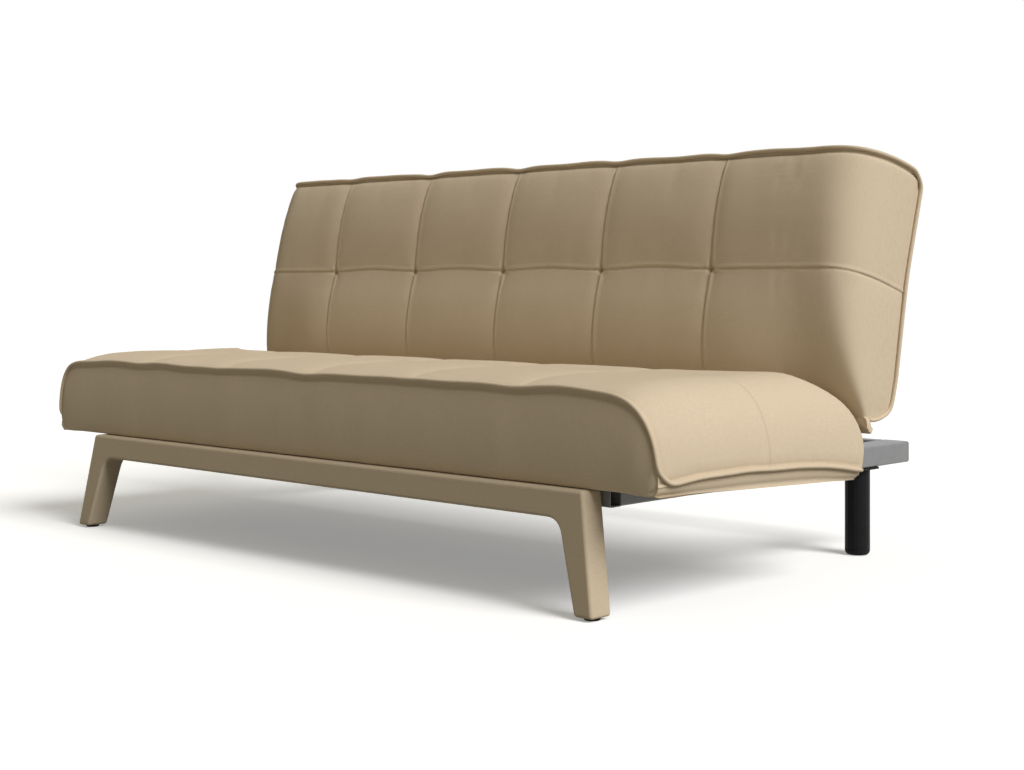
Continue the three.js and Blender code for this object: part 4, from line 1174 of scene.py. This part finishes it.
def sleeve(side):
    sign = 1 if side == "right" else -1
    low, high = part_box(f"hinge_sleeve_{side}")
    start = min(abs(low.x), abs(high.x))
    rings = []
    for reach, radius in POUCH_SHAPE:
        x = sign * (start + reach)
        rings.append([(x, PIVOT.y + y, PIVOT.z + z) for y, z in pouch_ring(reach, radius)])
    obj = ring_object(f"hinge_sleeve_fabric_{side}", rings)
    soften = obj.modifiers.new("soften", "SUBSURF")
    soften.levels = 1
    smooth_shading(obj.data)
    apply_modifiers(obj)
    return obj


# Camera, light and floor

WARM_LIGHT = (1.0, 0.94, 0.71)
WHITE = (1.0, 1.0, 1.0)
SKY_LEVEL = 0.225
SUN_ENERGY = 3.15
SUN_ANGLE = math.radians(32)
SUN_DIRECTION = (0.76, -0.005, 0.67)
FLOOR_REACH = 9
FLOOR_SEEN = ((0.90, 0.90, 0.90), (0.93, 0.93, 0.93))
FLOOR_LIT = ((0.26, 0.25, 0.22), (0.29, 0.28, 0.25))
FLOOR_GLOW = 0.25


def camera():
    data = bpy.data.cameras.new("photo_camera")
    data.sensor_width = SENSOR_WIDTH
    data.lens = FOCAL_PIXELS / PHOTO_SIZE[0] * SENSOR_WIDTH
    data.shift_x = (PHOTO_SIZE[0] / 2 - AXIS_PIXEL[0]) / PHOTO_SIZE[0]
    data.shift_y = (AXIS_PIXEL[1] - PHOTO_SIZE[1] / 2) / PHOTO_SIZE[0]
    obj = bpy.data.objects.new("photo_camera", data)
    obj.location = CAMERA_PLACE
    obj.rotation_euler = (math.pi / 2, 0, CAMERA_AZIMUTH)
    bpy.context.scene.collection.objects.link(obj)
    bpy.context.scene.camera = obj


def seen_directly(tree):
    """1 for what the camera, a mirror or glass shows, 0 for the light that falls on things."""
    path = tree.nodes.new("ShaderNodeLightPath")
    shiny = math_node(tree, "MAXIMUM", path.outputs["Is Glossy Ray"], path.outputs["Is Transmission Ray"])
    return math_node(tree, "MAXIMUM", path.outputs["Is Camera Ray"], shiny)


def sky():
    """White to look at, and a dim warm light on everything else."""
    world = bpy.data.worlds.new("studio")
    bpy.context.scene.world = world
    world.use_nodes = True
    tree = world.node_tree
    back = tree.nodes["Background"]
    seen = seen_directly(tree)
    link(tree, mix_colour(tree, seen, WARM_LIGHT, WHITE), back.inputs["Color"])
    link(tree, map_range(tree, seen, "To", (SKY_LEVEL, 1.0)), back.inputs["Strength"])


def key_light():
    sun = bpy.data.lights.new("key", "SUN")
    sun.energy = SUN_ENERGY
    sun.angle = SUN_ANGLE
    key = bpy.data.objects.new("key", sun)
    key.rotation_euler = Vector(SUN_DIRECTION).to_track_quat("Z", "Y").to_euler()
    bpy.context.scene.collection.objects.link(key)


def pale_floor():
    """Pale to look at, but dull in the light that it throws back on the sofa."""
    corners = [(x * FLOOR_REACH, y * FLOOR_REACH, 0) for x, y in ((-1, -1), (1, -1), (1, 1), (-1, 1))]
    floor = new_object("floor", corners, [(0, 1, 2, 3)])
    material, tree, shader = node_material("floor")
    grain = noise_node(tree, coordinates(tree), 3.0)
    seen = seen_directly(tree)
    tone = mix_colour(tree, seen, mix_colour(tree, grain, *FLOOR_LIT), mix_colour(tree, grain, *FLOOR_SEEN))
    link(tree, tone, shader.inputs["Base Color"])
    shader.inputs["Roughness"].default_value = 0.9
    shader.inputs["Emission Color"].default_value = (*WHITE, 1)
    link(tree, math_node(tree, "MULTIPLY", seen, FLOOR_GLOW), shader.inputs["Emission Strength"])
    paint(floor, material)


# The scene

bpy.context.scene.view_settings.view_transform = "Standard"
camera()
sky()
key_light()
pale_floor()
dress_nodes()

for form, material in ((SEAT, SEAT_FABRIC), (BACK, BACK_FABRIC)):
    cushion, points, stations, border = build_cushion(form)
    write_points(cushion.data, form["place"](read_points(cushion.data)))
    outward(cushion)
    smooth_shading(cushion.data)
    paint(cushion, material)
    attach(cushion, form["body"])
    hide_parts(form["node"])
    welt = build_welt(form, points, stations, border)
    paint(welt, material)
    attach(welt, form["body"])

cover = front_frame()
# The apron and legs take the linen with painted shade
paint(cover, BASE_FABRIC_PAINTED_SHADE)
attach(cover, "base")
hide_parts("front_apron_rail", "front_leg_left", "front_leg_right")

for side in ("left", "right"):
    pouch = sleeve(side)
    paint(pouch, BACK_FABRIC)
    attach(pouch, "back")
    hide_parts(f"hinge_sleeve_{side}")
